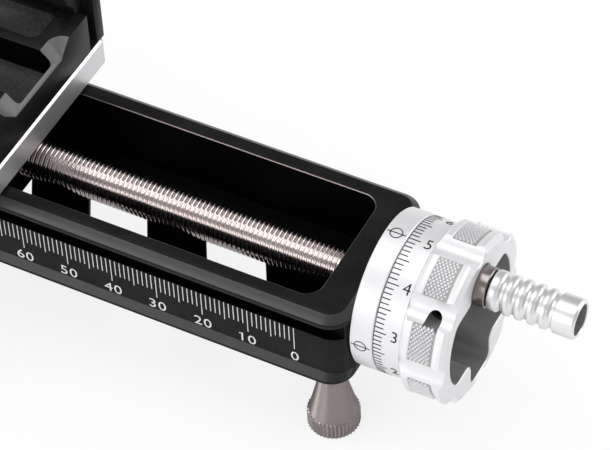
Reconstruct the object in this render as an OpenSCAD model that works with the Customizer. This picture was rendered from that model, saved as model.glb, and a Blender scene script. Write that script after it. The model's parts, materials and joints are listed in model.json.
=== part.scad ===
// Macro focusing rail: a milled rail with a crank-driven lead screw, a carriage
// that the screw moves one millimetre a turn, and a dovetail camera clamp on it.
// X runs along the rail towards the crank knob, -Y is the side with the scale,
// and the origin is the tripod thread's mouth in the middle of the underside.

/* [Rail] */
// Length of the rail without the knob
rail_len = 200; // [170:1:260]
// Width across the dovetail foot
base_w = 38; // [36:0.5:46]
// Width across the top flange
flange_w = 37; // [35:0.5:45]
// Height from the underside to the top face
rail_h = 18; // [16.5:0.5:24]
// Radius of the rail's corners seen from above
corner_r = 5; // [4:0.5:8]
// How far the scale face stands in from the foot's edge
face_inset = 1.5; // [0.8:0.1:2.5]
// Height of the foot's upright edge
foot_edge_h = 0.65; // [0.4:0.05:1.2]
// Height of the foot's slope up to the scale face
foot_slope_h = 1.35; // [0.8:0.05:2]
// Height of the top flange's upright edge
flange_edge_h = 1.2; // [0.8:0.1:2]
// Width of the top flange's bevel
bevel_w = 1.6; // [0.8:0.1:2.5]
// Height of the top flange's bevel
bevel_h = 1.3; // [0.8:0.1:2]
// Height of the groove below the top flange
groove_h = 4; // [2:0.1:5]
// Wall between the side groove and the window
groove_wall = 1.65; // [1.2:0.05:3]

/* [Window] */
// Width of the long window
window_w = 28; // [26:0.5:32]
// Thickness of the wall at each end of the window
end_wall = 8; // [7:0.5:14]
// Radius of the window's corners
window_r = 3.5; // [2:0.5:6]
// Thickness of the floor under the window
floor_t = 4; // [3:0.25:5]
// Width of one slanted floor opening, along the rail
slot_w = 13.35; // [8:0.05:15]
// Distance from one floor opening to the next
slot_pitch = 26.7; // [22:0.1:32]
// Lean of the floor openings from straight across
slot_lean = 30; // [0:1:40]
// Reach of the floor openings across the rail
slot_span = 20; // [12:0.5:24]

/* [Lead screw and bearings] */
// Depth of the screw's axis below the rail's top face
screw_drop = 6.8; // [6.2:0.1:8]
// Diameter over the thread
screw_d = 8; // [6:0.5:9]
// Diameter of the journals at both ends
journal_d = 6; // [5:0.5:6]
// Outer diameter of the ball bearings
bearing_od = 13; // [12:0.5:13.5]
// Width of one ball bearing
bearing_w = 5; // [4:0.5:5]
// Thickness of the lip that a bearing seats against
bearing_lip = 1; // [0.8:0.1:2]

/* [Index collar and dial] */
// Diameter of the fixed index collar
collar_d = 31.7; // [30:0.1:36]
// Thickness of the index collar
collar_t = 4.65; // [4:0.05:8]
// How far the dial ring's rim stands in from the collar's
dial_step = 0.15; // [0.05:0.05:0.6]
// Width of the dial ring
dial_t = 5.4; // [4.5:0.1:9]
// Wall of the dial ring around the knob's hub
dial_wall = 2.7; // [2:0.1:4]

/* [Knob] */
// Diameter over the knob's lobes
knob_d = 34.8; // [34:0.2:42]
// Length of the lobed part
knob_t = 9.6; // [9.2:0.1:14]
// Number of lobes and of the scallops between them
lobes = 8; // [8:4:12]
// Radius of the cutter that leaves a scallop
scallop_r = 3.1; // [2.4:0.1:3.5]
// Depth of a scallop below the lobes
scallop_depth = 1.95; // [1:0.05:2.2]
// Height of the bevel at the lobes' rear
rear_bevel_h = 1.3; // [0.6:0.1:2]
// Height of the bevel round the knob's face
face_bevel_h = 0.7; // [0.4:0.1:1.5]
// Width of the flange on each side of the knurled field
knurl_flange_w = 1.1; // [0.7:0.1:1.5]
// Depth of the knurled field below the lobes
knurl_depth = 0.6; // [0.3:0.05:1]
// Radius of the finger recess in the face
recess_r = 13.4; // [12:0.1:14]
// Width of the finger recess across the crank's slot
recess_w = 16.8; // [14:0.2:17]
// Depth of the finger recess
recess_depth = 8; // [4:0.1:8.2]

/* [Crank] */
// Distance of the crank's hinge pin from the screw's axis
crank_throw = 9.9; // [9.6:0.1:11]
// Diameter of the knuckle and the grip
crank_d = 8; // [7:0.2:8.4]
// Hinge pin to the grip's near end
knuckle_len = 6.6; // [6:0.1:8]
// Length of the grip
grip_len = 17.6; // [15:0.1:18.5]
// Diameter of the hinge pin
pin_d = 2.5; // [2:0.1:3]
// Number of round grooves on the grip
grip_grooves = 5; // [3:1:6]
// Distance from one grip groove to the next
grip_groove_pitch = 2.45; // [2:0.05:2.6]
// Depth of the grip's grooves
grip_groove_depth = 0.45; // [0.2:0.05:0.6]
// Diameter of the hollow in the grip's end
grip_hollow_d = 6.2; // [5.4:0.1:6.4]
// Depth of the hollow in the grip's end
grip_hollow_depth = 5; // [4:0.1:6]
// Diameter of the stud that the grip turns on
stud_d = 3.2; // [2.6:0.1:3.6]

/* [Carriage] */
// Length of the carriage plate and the clamp, along the rail
carriage_len = 60; // [50:1:80]
// Width of the carriage plate across the rail
carriage_w = 48.4; // [44:0.2:56]
// Thickness of the carriage plate
plate_t = 7; // [5:0.25:10]
// Bevel along the plate's upper edge
plate_bevel = 0.75; // [0.3:0.05:1.5]
// Place of the carriage's middle along the rail when parked
carriage_x = -5; // [-20:1:20]
// Length of the nut block in the window
nut_block_len = 50; // [44:1:60]
// Outer diameter of the two nuts
nut_d = 11; // [10.5:0.1:12]
// Length of each nut
nut_len = 16; // [12:0.5:18]
// Gap between the nut block and the window's walls
block_gap = 0.8; // [0.4:0.1:1.5]
// Length of the keepers that hold the carriage down on the rail
keeper_len = 50; // [36:1:60]
// Wall of the low-friction liners on the keepers
liner_wall = 0.8; // [0.6:0.1:1.2]

/* [Clamp] */
// Width of the camera plate that the clamp takes
camera_plate_w = 38; // [36:0.5:42]
// Height of the clamp base
clamp_h = 9.9; // [9:0.1:14]
// Height of the jaws above the bed
jaw_rise = 5; // [4:0.25:8]
// How far a jaw's lip reaches over the camera plate
jaw_lip = 2.4; // [1.5:0.1:3]
// Width of the pocket along the middle of the base
pocket_w = 12.8; // [8:0.2:14]
// Floor left under the pocket
pocket_floor = 3.6; // [2.5:0.1:5]
// Depth of the shallow scoop at each end of the bed
scoop_depth = 3.1; // [1.5:0.1:4]
// Opening travel of the moving jaw
jaw_travel = 5; // [3:0.5:5]
// Diameter of the clamp's stud
clamp_stud_d = 6; // [5:0.5:6]
// Diameter of the jaw's guide pins
guide_pin_d = 4; // [3:0.5:4]
// Diameter of the clamp knob
clamp_knob_d = 20; // [16:0.5:24]
// Length of the clamp knob
clamp_knob_len = 13; // [10:0.5:20]

/* [Feet] */
// Height of a foot below the rail
foot_h = 16.4; // [12:0.1:24]
// Diameter of a foot's knurled rim
foot_d = 10.5; // [9:0.1:14]
// Height of the knurled rim
foot_rim_h = 4.1; // [3:0.1:6]
// Diameter of a foot's neck
foot_neck_d = 4.4; // [4.2:0.1:6]
// Diameter of the foot's thread
foot_stud_d = 4; // [3:0.5:4]
// Depth of the foot's thread in the rail
foot_stud_len = 7; // [5:0.5:8]

/* [Threads for a tripod] */
// Diameter of the middle thread, three eighths of an inch
tripod_large_d = 9.525; // [9.525]
// Diameter of the rear thread, a quarter of an inch
tripod_small_d = 6.35; // [6.35]

/* [Fits] */
// Running clearance on the radius of a shaft
run_fit = 0.04; // [0.02:0.01:0.08]
// Gap between faces that slide or turn past each other
face_gap = 0.15; // [0.1:0.01:0.2]
// Room left where a piece must move freely
free_gap = 0.3; // [0.2:0.05:0.5]

/* [Hidden] */
$fn = 48;
// Overlap that lets a cut run clear past a face
past = 1;

// Rail: heights of the side profile, and half sizes
foot_top = foot_edge_h + foot_slope_h;
flange_top = rail_h - bevel_h;
flange_low = flange_top - flange_edge_h;
groove_low = flange_low - groove_h;
groove_y = window_w / 2 + groove_wall;
rail_end = rail_len / 2;
window_end = rail_end - end_wall;
slot_count = 2 * floor((window_end - slot_w / 2 - slot_span / 2 * tan(slot_lean)) / slot_pitch + 0.5);

// Lead screw, bearings, collar and knob: stations along the rail
axis_z = rail_h - screw_drop;
bearing_in = window_end + bearing_lip;
bearing_out = bearing_in + 2 * bearing_w;
screw_shoulder_d = journal_d + 1.6;
lip_d = screw_shoulder_d + 1.6;
ball_track_r = (bearing_od + journal_d) / 4;
ball_r = (bearing_od - journal_d) / 8 + 0.1;
race_gap = 0.05;
balls = 7;
collar_face = rail_end + collar_t;
dial_rear = collar_face + face_gap;
dial_face = dial_rear + dial_t;
knob_face = dial_face + knob_t;
dial_d = collar_d - 2 * dial_step;
hub_d = dial_d - 2 * dial_wall;
collar_screw_d = 3;
collar_screw_head_d = 5.6;
collar_screw_y = bearing_od / 2 + collar_screw_head_d / 2 + 1.6;
collar_screw_z = 4;
collar_screw_depth = corner_r - foot_stud_d / 2 - free_gap;
rear_cap_d = bearing_od + 2;
rear_cap_t = end_wall - bearing_lip - bearing_w;

// Knob and crank
knob_r = knob_d / 2;
scallop_at = knob_r - scallop_depth + scallop_r;
crank_r = crank_d / 2;
pin_x = knob_face - crank_r;
pin_z = axis_z + crank_throw;
slot_floor = pin_x - crank_r - free_gap;
grip_x = pin_x + knuckle_len;
grip_end = grip_x + grip_len;
slot_end = knuckle_len + grip_len - crank_throw + free_gap;
pin_reach = crank_r + free_gap / 2 + 3.2;
pin_screw_d = 3;
pin_screw_len = 2.6;
knob_screw_d = 3;
knob_screw_head_d = 5.5;
knob_screw_head_h = 1.9;
knob_screw_grip = 6;
journal_end = slot_floor - knob_screw_head_h - 2;
plunger_d = 3;
plunger_len = 4.4;
stud_head_d = grip_hollow_d - 0.8;
stud_head_h = 2.2;
washer_h = 0.25;
washer_gap = 0.1;
knuckle_end = knuckle_len - washer_h - washer_gap;
grip_hollow_x = grip_end - grip_hollow_depth;

// Carriage and clamp: heights and half sizes
plate_low = rail_h + 0.5;
plate_top = plate_low + plate_t;
bed_z = plate_top + clamp_h;
carriage_half = carriage_len / 2;
base_half = camera_plate_w / 2;
camera_land = base_half - jaw_lip - 0.5;
jaw_out = carriage_w / 2;
block_low = floor_t + 0.2;
block_half_w = window_w / 2 - block_gap;
keeper_in = flange_w / 2 + free_gap;
keeper_out = jaw_out - 0.3;
keeper_low = groove_low + free_gap;
liner_in = groove_y + face_gap;
liner_out = keeper_in - face_gap;
liner_low = groove_low + face_gap;
liner_h = groove_h - 2 * face_gap;
tongue_in = liner_in + liner_wall;
tongue_low = liner_low + liner_wall;
tongue_h = liner_h - 2 * liner_wall;
keeper_screw_d = 2.5;
keeper_screw_head_d = 4.4;
keeper_screw_head_h = 2.5;
keeper_screw_y = (keeper_in + keeper_out) / 2;
keeper_screw_end = 7;
keeper_screw_x = keeper_len / 2 - keeper_screw_end;
clamp_screw_d = 4;
clamp_screw_head_d = 7;
clamp_screw_head_h = 4;
clamp_head_sink = 0.2;
clamp_screw_from_end = 20;
clamp_screw_x = carriage_half - clamp_screw_from_end;
clamp_screw_y = pocket_w / 2 + clamp_screw_head_d / 2 + 0.6;
clamp_screw_end = axis_z - 2;
jaw_axis_z = plate_top + clamp_h / 2;
guide_pin_wall = 2.5;
guide_pin_x = clamp_screw_x + clamp_screw_head_d / 2 + guide_pin_d / 2 + guide_pin_wall;
pad_depth = 0.8;
pad_w = 7.9;
pad_y = pocket_w / 2 + pad_w / 2 + 2.4;
pad_end = 5.6;
pocket_end_wall = 0.7;
jaw_notch_len = 3;
jaw_notch_w = 2.4;
bed_relief_w = base_half - camera_land;
bed_relief_h = 0.5;
stud_in = pocket_w / 2 + 2;
jaw_screw_d = 3;
jaw_screw_head_d = 5.5;
jaw_screw_head_h = 3;
jaw_corner = 0.6;
knob_near = jaw_out + 0.8;
washer_t = knob_near - jaw_out;
stud_in_knob = 6;
scoop_half = 8.8;
scoop_len = 3.3;

// Places children at a station of the lead screw's axis, turned to face +X
module on_axis(x) {
    translate([x, 0, axis_z]) rotate([0, 90, 0]) children();
}

// Places children at a station of the grip's axis, turned to face +X
module on_grip(x) {
    translate([x, 0, pin_z]) rotate([0, 90, 0]) children();
}

// Places children at the four corners of a rectangle
module at_corners(x, y) {
    for (sx = [-1, 1], sy = [-1, 1]) translate([sx * x, sy * y, 0]) children();
}

// A block with round upright corners, centred in X and Y
module round_block(size, r, h) {
    translate([-size[0] / 2 + r, -size[1] / 2, 0]) cube([size[0] - 2 * r, size[1], h]);
    translate([-size[0] / 2, -size[1] / 2 + r, 0]) cube([size[0], size[1] - 2 * r, h]);
    at_corners(size[0] / 2 - r, size[1] / 2 - r) cylinder(r = r, h = h);
}

// A ring or tube along +Z
module tube(d, bore, h) {
    difference() {
        cylinder(d = d, h = h);
        translate([0, 0, -past]) cylinder(d = bore, h = h + 2 * past);
    }
}

// ---- Rail ----

// A block whose sides follow a profile of [inset, height] points, on all sides and
// round its upright corners
module edged_block(size, r, profile) {
    top = profile[len(profile) - 1][1];
    low = profile[0][1];
    function section(half) = concat(
        [for (p = profile) [half - p[0], p[1]]],
        [for (i = [len(profile) - 1 : -1 : 0]) [profile[i][0] - half, profile[i][1]]]
    );
    translate([-size[0] / 2 + r, 0, 0]) rotate([90, 0, 90])
        linear_extrude(size[0] - 2 * r) polygon(section(size[1] / 2));
    translate([0, size[1] / 2 - r, 0]) rotate([90, 0, 0])
        linear_extrude(size[1] - 2 * r) polygon(section(size[0] / 2));
    at_corners(size[0] / 2 - r, size[1] / 2 - r) rotate_extrude()
        polygon(concat([[0, low]], [for (p = profile) [r - p[0], p[1]]], [[0, top]]));
}

// The solid bar: dovetail foot, upright core and bevelled top flange, flush at the ends
module rail_bar() {
    edged_block([rail_len, base_w], corner_r,
        [[0, 0], [0, foot_edge_h], [face_inset, foot_top]]);
    round_block([rail_len, base_w - 2 * face_inset], corner_r, flange_top);
    edged_block([rail_len, flange_w], corner_r,
        [[0, flange_low], [0, flange_top], [bevel_w, rail_h]]);
}

// The straight groove below the flange on each side, which the carriage runs in
module side_grooves() {
    for (side = [-1, 1])
        translate([0, side * (groove_y + base_w / 2), groove_low + groove_h / 2])
            cube([rail_len + 2 * past, base_w, groove_h], center = true);
}

module window() {
    translate([0, 0, floor_t])
        round_block([2 * window_end, window_w], window_r, rail_h);
}

// One leaning opening in the floor, seen from above
module slot_outline() {
    lean = slot_span / 2 * tan(slot_lean);
    polygon([
        [-slot_w / 2 + lean, -slot_span / 2], [slot_w / 2 + lean, -slot_span / 2],
        [slot_w / 2 - lean, slot_span / 2], [-slot_w / 2 - lean, slot_span / 2]
    ]);
}

module floor_slots() {
    for (i = [0 : slot_count - 1])
        translate([(i - (slot_count - 1) / 2) * slot_pitch, 0, -past])
            linear_extrude(floor_t + 2 * past) slot_outline();
}

module tripod_threads() {
    translate([0, 0, -past]) cylinder(d = tripod_large_d, h = floor_t + 2 * past);
    translate([-slot_pitch, 0, -past]) cylinder(d = tripod_small_d, h = floor_t + 2 * past);
}

module bearing_bores() {
    on_axis(bearing_in) cylinder(d = bearing_od, h = end_wall);
    on_axis(window_end - past) cylinder(d = lip_d, h = end_wall);
    mirror([1, 0, 0]) {
        on_axis(bearing_in) cylinder(d = bearing_od, h = end_wall);
        on_axis(bearing_in + bearing_w) cylinder(d = rear_cap_d, h = end_wall);
        on_axis(window_end - past) cylinder(d = lip_d, h = end_wall);
    }
}

// Places children at the four collar screws
module at_collar_screws(x) {
    for (sy = [-1, 1], sz = [-1, 1])
        translate([x, sy * collar_screw_y, axis_z + sz * collar_screw_z])
            rotate([0, 90, 0]) children();
}

module rail_body() {
    color("#1b1b1c") difference() {
        rail_bar();
        side_grooves();
        window();
        floor_slots();
        tripod_threads();
        bearing_bores();
        at_collar_screws(rail_end - collar_screw_depth)
            cylinder(d = collar_screw_d, h = end_wall);
        at_corners(rail_end - corner_r, base_w / 2 - corner_r)
            translate([0, 0, -past]) cylinder(d = foot_stud_d, h = foot_stud_len + past);
    }
}

// A countersunk screw along +Z, its head's flat top at h
module countersunk(d, head_d, h) {
    cone_h = (head_d - d) / 2;
    cylinder(d = d, h = h - cone_h);
    translate([0, 0, h - cone_h]) cylinder(d1 = d, d2 = head_d, h = cone_h);
}

module index_collar() {
    screw_h = collar_screw_depth + collar_t;
    color("#e4e4e6") difference() {
        on_axis(rail_end) difference() {
            cylinder(d = collar_d, h = collar_t);
            translate([0, 0, -past]) cylinder(d = bearing_od, h = bearing_out - rail_end + past);
            cylinder(d = lip_d, h = collar_t + past);
        }
        at_collar_screws(rail_end - collar_screw_depth)
            countersunk(collar_screw_d, collar_screw_head_d, screw_h);
    }
}

module collar_screws() {
    color("#4a4a4c") at_collar_screws(rail_end - collar_screw_depth)
        countersunk(collar_screw_d, collar_screw_head_d, collar_screw_depth + collar_t);
}

// Places children at the rear face of all three bearings, turned to face +X
module at_bearings() {
    for (x = [bearing_in, bearing_in + bearing_w, -bearing_in - bearing_w])
        on_axis(x) children();
}

// One ring of a bearing with its ball track, from a bore to an outer radius
module bearing_ring(bore_r, outer_r) {
    rotate_extrude() difference() {
        translate([bore_r, 0]) square([outer_r - bore_r, bearing_w]);
        translate([ball_track_r, bearing_w / 2]) circle(r = ball_r + race_gap);
    }
}

module bearing_outer_rings() {
    color("#b9bbbe") at_bearings()
        bearing_ring(ball_track_r + ball_r * 0.6, bearing_od / 2);
}

module bearing_inner_rings() {
    color("#b9bbbe") at_bearings()
        bearing_ring(journal_d / 2, ball_track_r - ball_r * 0.6);
}

// The balls stand in a ring, seated in the inner track
module bearing_balls() {
    color("#d8d9db") at_bearings() for (i = [0 : balls - 1]) rotate([0, 0, i * 360 / balls])
        translate([ball_track_r, 0, bearing_w / 2]) sphere(r = ball_r, $fn = 16);
}

// The cap's two small holes take a pin spanner
module rear_cap() {
    spanner_r = rear_cap_d * 0.3;
    color("#262628") on_axis(-rail_end) difference() {
        cylinder(d = rear_cap_d, h = rear_cap_t);
        for (side = [-1, 1]) translate([0, side * spanner_r, -past])
            cylinder(d = 1.6, h = rear_cap_t / 2 + past);
    }
}

// One foot, its shoulder at z = 0: stud, neck, flared cone and knurled rim
module foot() {
    neck_r = foot_neck_d / 2;
    rim_r = foot_d / 2;
    cone_h = foot_h - foot_rim_h;
    steps = 8;
    flare = [for (i = [0 : steps]) let (t = i / steps)
        [neck_r + (rim_r - 0.25 - neck_r) * pow(t, 1.35), -cone_h * (0.08 + 0.92 * t)]];
    rotate_extrude() polygon(concat(
        [[0, foot_stud_len], [foot_stud_d / 2, foot_stud_len], [foot_stud_d / 2, 0], [neck_r, 0]],
        flare,
        [[rim_r, -cone_h - 0.25], [rim_r, -foot_h + 0.4], [rim_r - 0.4, -foot_h], [0, -foot_h]]
    ));
}

module feet() {
    color("#8f8a89") at_corners(rail_end - corner_r, base_w / 2 - corner_r) foot();
}

// ---- Screw, dial and knob ----

module lead_screw() {
    bore_from = journal_end - knob_screw_grip;
    color("#c9c4c2") difference() {
        union() {
            on_axis(-window_end + free_gap)
                cylinder(d = screw_d, h = 2 * (window_end - free_gap));
            on_axis(-bearing_in) cylinder(d = screw_shoulder_d, h = 2 * bearing_in);
            on_axis(-bearing_in - bearing_w + face_gap)
                cylinder(d = journal_d, h = journal_end + bearing_in + bearing_w - face_gap);
        }
        on_axis(bore_from) cylinder(d = knob_screw_d, h = journal_end);
    }
}

module bearing_spacer() {
    color("#9a9c9f") on_axis(bearing_out)
        tube(lip_d - 2 * free_gap, journal_d, dial_rear - bearing_out);
}

module dial_ring() {
    bevel = 0.3;
    color("#e8e8ea") on_axis(dial_rear) rotate_extrude() polygon([
        [hub_d / 2, 0], [dial_d / 2 - bevel, 0], [dial_d / 2, bevel],
        [dial_d / 2, dial_t], [hub_d / 2, dial_t]
    ]);
}

// Half of the knob's section from the axis out, starting at the hub's rear
function knob_section() = [
    [0, 0], [hub_d / 2, 0], [hub_d / 2, dial_t], [knob_r - rear_bevel_h * 1.3, dial_t],
    [knob_r, dial_t + rear_bevel_h], [knob_r, dial_t + rear_bevel_h + knurl_flange_w],
    [knob_r - knurl_depth, dial_t + rear_bevel_h + knurl_flange_w],
    [knob_r - knurl_depth, dial_t + knob_t - face_bevel_h - knurl_flange_w],
    [knob_r, dial_t + knob_t - face_bevel_h - knurl_flange_w],
    [knob_r, dial_t + knob_t - face_bevel_h],
    [knob_r - face_bevel_h * 1.6, dial_t + knob_t], [0, dial_t + knob_t]
];

module scallops() {
    for (i = [0 : lobes - 1]) rotate([0, 0, i * 360 / lobes])
        translate([scallop_at, 0, dial_t]) cylinder(r = scallop_r, h = knob_t + past);
}

// The crank's slot, cut down from the knob's face: round at the hinge, square at the end
module crank_slot() {
    width = crank_d + free_gap;
    depth = knob_face - slot_floor + past;
    corner = 1.2;
    translate([slot_floor, 0, axis_z]) rotate([0, 90, 0]) {
        translate([-crank_throw, 0, 0]) cylinder(d = width, h = depth);
        translate([-crank_throw, -width / 2, 0])
            cube([crank_throw + slot_end - corner, width, depth]);
        translate([slot_end - 2 * corner - 1, 0, 0])
            round_block([4 * corner + 2, width], corner, depth);
    }
}

// A round recess with two flats and eased corners, for a fingertip
module finger_recess() {
    corner = 2.5;
    flat = recess_w / 2;
    reach = sqrt(recess_r * recess_r - flat * flat);
    inner = sqrt(pow(recess_r - corner, 2) - pow(flat - corner, 2));
    on_axis(knob_face - recess_depth) {
        intersection() {
            cylinder(r = recess_r, h = recess_depth + past);
            translate([-flat + corner, -recess_r, 0])
                cube([2 * (flat - corner), 2 * recess_r, recess_depth + past]);
        }
        translate([-flat, -inner, 0]) cube([2 * flat, 2 * inner, recess_depth + past]);
        for (sx = [-1, 1], sy = [-1, 1]) translate([sx * (flat - corner), sy * inner, 0])
            cylinder(r = corner, h = recess_depth + past);
    }
}

// The hinge pin's hole, drilled in from the scallop on the scale side
module pin_hole() {
    translate([pin_x, 0, pin_z]) rotate([90, 0, 0]) {
        translate([0, 0, -pin_reach]) cylinder(d = pin_d, h = 2 * pin_reach);
        translate([0, 0, pin_reach]) cylinder(d = pin_screw_d, h = knob_r);
    }
}

module knob_body() {
    color("#ececee") difference() {
        on_axis(dial_rear) difference() {
            rotate_extrude() polygon(knob_section());
            scallops();
            translate([0, 0, -past])
                cylinder(d = journal_d, h = journal_end - dial_rear + past);
            cylinder(d = knob_screw_d, h = knob_t + dial_t);
            translate([0, 0, slot_floor - dial_rear - knob_screw_head_h])
                cylinder(d = knob_screw_head_d, h = knob_t);
            translate([-crank_throw, 0, slot_floor - dial_rear - plunger_len])
                cylinder(d = plunger_d, h = knob_t);
        }
        crank_slot();
        finger_recess();
        pin_hole();
    }
}

// A cap screw along +Z with a hexagon socket in its head
module cap_screw(d, head_d, head_h, shank) {
    cylinder(d = d, h = shank);
    translate([0, 0, shank]) difference() {
        cylinder(d = head_d, h = head_h);
        translate([0, 0, head_h * 0.4]) cylinder(d = head_d * 0.5, h = head_h, $fn = 6);
    }
}

module knob_screw() {
    seat = slot_floor - knob_screw_head_h;
    shank = seat - journal_end + knob_screw_grip;
    color("#3a3a3c") on_axis(seat - shank)
        cap_screw(knob_screw_d, knob_screw_head_d, knob_screw_head_h - 0.1, shank);
}

module detent_plunger() {
    ball_r = 1.1;
    color("#77787a") on_grip(slot_floor - plunger_len) {
        cylinder(d = plunger_d, h = plunger_len - free_gap);
        translate([0, 0, plunger_len + free_gap * 0.7 - ball_r]) sphere(r = ball_r);
    }
}

module crank_pin() {
    color("#a9aaad") translate([pin_x, pin_reach, pin_z]) rotate([90, 0, 0])
        cylinder(d = pin_d, h = 2 * pin_reach);
}

module pin_screw() {
    color("#5a5a5c") translate([pin_x, -pin_reach, pin_z]) rotate([90, 0, 0]) difference() {
        cylinder(d = pin_screw_d, h = pin_screw_len);
        translate([0, 0, pin_screw_len * 0.4]) cylinder(d = 1.5, h = pin_screw_len, $fn = 6);
    }
}

// ---- Crank ----

module crank_knuckle() {
    color("#5c5553") difference() {
        on_grip(pin_x) union() {
            sphere(r = crank_r);
            cylinder(r = crank_r, h = knuckle_end);
        }
        translate([pin_x, crank_r + past, pin_z]) rotate([90, 0, 0])
            cylinder(r = pin_d / 2 + run_fit, h = crank_d + 2 * past);
        on_grip(grip_x - 3.2) cylinder(d = stud_d, h = knuckle_len);
    }
}

module grip_stud() {
    color("#8b8c8f") on_grip(grip_x - 3.2)
        cap_screw(stud_d, stud_head_d, stud_head_h, 3.2 + grip_hollow_x - grip_x + washer_gap);
}

module grip_washer() {
    color("#2c2c2d") on_grip(pin_x + knuckle_end) tube(crank_d - 1, stud_d, washer_h);
}

// The grip's outside from its near end, as radius against length
function grip_outline() = let (
    lead_in = 0.5,
    steps = 10,
    grooves = [for (g = [0 : grip_grooves - 1], i = [0 : steps]) let (t = i / steps)
        [crank_r - grip_groove_depth * pow(sin(180 * t), 2),
         lead_in + (g + t) * grip_groove_pitch]]
) concat([[crank_r - 0.35, 0]], grooves,
    [[crank_r, grip_len - 0.5], [crank_r - 0.5, grip_len]]);

module crank_grip() {
    bore_r = stud_d / 2 + run_fit;
    color("#f0f0f2") on_grip(grip_x) rotate_extrude() polygon(concat(
        [[bore_r, 0]], grip_outline(),
        [[grip_hollow_d / 2, grip_len], [grip_hollow_d / 2, grip_len - grip_hollow_depth],
         [bore_r, grip_len - grip_hollow_depth]]
    ));
}

// ---- Carriage ----

// Places children at the four screws through clamp, plate and nut block
module at_clamp_screws(z) {
    translate([carriage_x, 0, z]) at_corners(clamp_screw_x, clamp_screw_y) children();
}

module carriage_plate() {
    size = [carriage_len, carriage_w];
    // Half the plate's section, bevelled along its upper edge
    function section(half) = [
        [-half, 0], [half, 0], [half, plate_t - plate_bevel],
        [half - plate_bevel, plate_t], [-half + plate_bevel, plate_t],
        [-half, plate_t - plate_bevel]
    ];
    color("#d6d7d9") difference() {
        translate([carriage_x, 0, plate_low]) intersection() {
            translate([-size[0] / 2, 0, 0]) rotate([90, 0, 90])
                linear_extrude(size[0]) polygon(section(size[1] / 2));
            translate([0, size[1] / 2, 0]) rotate([90, 0, 0])
                linear_extrude(size[1]) polygon(section(size[0] / 2));
        }
        at_clamp_screws(plate_low - past)
            cylinder(d = clamp_screw_d + 0.3, h = plate_t + 2 * past);
        at_keeper_screws(plate_low - past)
            cylinder(d = keeper_screw_d, h = plate_t - 1.5 + past);
    }
}

module nut_block() {
    color("#232325") difference() {
        translate([carriage_x, 0, block_low])
            round_block([nut_block_len, 2 * block_half_w], window_r, plate_low - block_low);
        on_axis(carriage_x - nut_block_len / 2 - past)
            cylinder(r = screw_d / 2 + free_gap, h = nut_block_len + 2 * past);
        on_axis(carriage_x - nut_block_len / 2 - past) cylinder(d = nut_d, h = nut_len + past);
        on_axis(carriage_x + nut_block_len / 2 - nut_len) cylinder(d = nut_d, h = nut_len + past);
        at_clamp_screws(clamp_screw_end) cylinder(d = clamp_screw_d, h = plate_low);
        at_nut_screws() cylinder(d = collar_screw_d, h = plate_low);
    }
}

// Places children on top of the two nuts, at the middle of each
module at_nut_screws() {
    for (side = [-1, 1])
        translate([carriage_x + side * (nut_block_len - nut_len) / 2, 0, axis_z + nut_d / 2])
            children();
}

module nut(x) {
    on_axis(x) tube(nut_d, screw_d + 2 * run_fit, nut_len);
}

module drive_nut() {
    color("#b08d4f") nut(carriage_x - nut_block_len / 2);
}

module backlash_nut() {
    color("#b08d4f") nut(carriage_x + nut_block_len / 2 - nut_len);
}

module nut_screws() {
    color("#4a4a4c") at_nut_screws()
        cylinder(d = collar_screw_d, h = plate_low - axis_z - nut_d / 2 - 0.2);
}

// A keeper on the +Y side: a bar under the plate with a tongue in the rail's groove
module keeper() {
    color("#2a2a2c") difference() {
        translate([carriage_x - keeper_len / 2, 0, 0]) {
            translate([0, keeper_in, keeper_low])
                cube([keeper_len, keeper_out - keeper_in, plate_low - keeper_low]);
            translate([0, tongue_in, tongue_low])
                cube([keeper_len, keeper_in - tongue_in + past, tongue_h]);
        }
        at_keeper_screws(keeper_low - past) {
            cylinder(d = keeper_screw_d + 0.3, h = plate_low);
            cylinder(d = keeper_screw_head_d + 0.2, h = keeper_screw_head_h + past);
        }
    }
}

// Places children at the screws that pull the keepers up to the plate
module at_keeper_screws(z) {
    translate([carriage_x, 0, z]) at_corners(keeper_screw_x, keeper_screw_y) children();
}

module keeper_back() {
    keeper();
}

module keeper_front() {
    mirror([0, 1, 0]) keeper();
}

module keeper_screws() {
    shank = plate_low + plate_t - 1.5 - keeper_low - keeper_screw_head_h;
    color("#3a3a3c") translate([0, 0, keeper_low + keeper_screw_head_h + shank])
        at_keeper_screws(0) rotate([180, 0, 0])
            cap_screw(keeper_screw_d, keeper_screw_head_d, keeper_screw_head_h - 0.1, shank);
}

// Channel-shaped liners round the keepers' tongues
module slide_liners() {
    color("#d9d6cc") for (side = [0, 1]) mirror([0, side, 0])
        translate([carriage_x - keeper_len / 2, 0, 0]) difference() {
            translate([0, liner_in, liner_low]) cube([keeper_len, liner_out - liner_in, liner_h]);
            translate([-past, tongue_in, tongue_low])
                cube([keeper_len + 2 * past, base_w, tongue_h]);
        }
}

// ---- Clamp ----

// The scoop at one end of the bed: a flat-bottomed ramp that flares to the sides
module end_scoop() {
    rise = scoop_depth + past;
    run = scoop_len * rise / scoop_depth;
    rotate([90, 0, 0]) linear_extrude(2 * scoop_half, center = true)
        polygon([[0, -scoop_depth], [past, -scoop_depth], [past, past], [-run, past]]);
    for (side = [-1, 1])
        translate([0, side * scoop_half, -scoop_depth]) cylinder(r1 = 0, r2 = run, h = rise);
}

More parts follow.
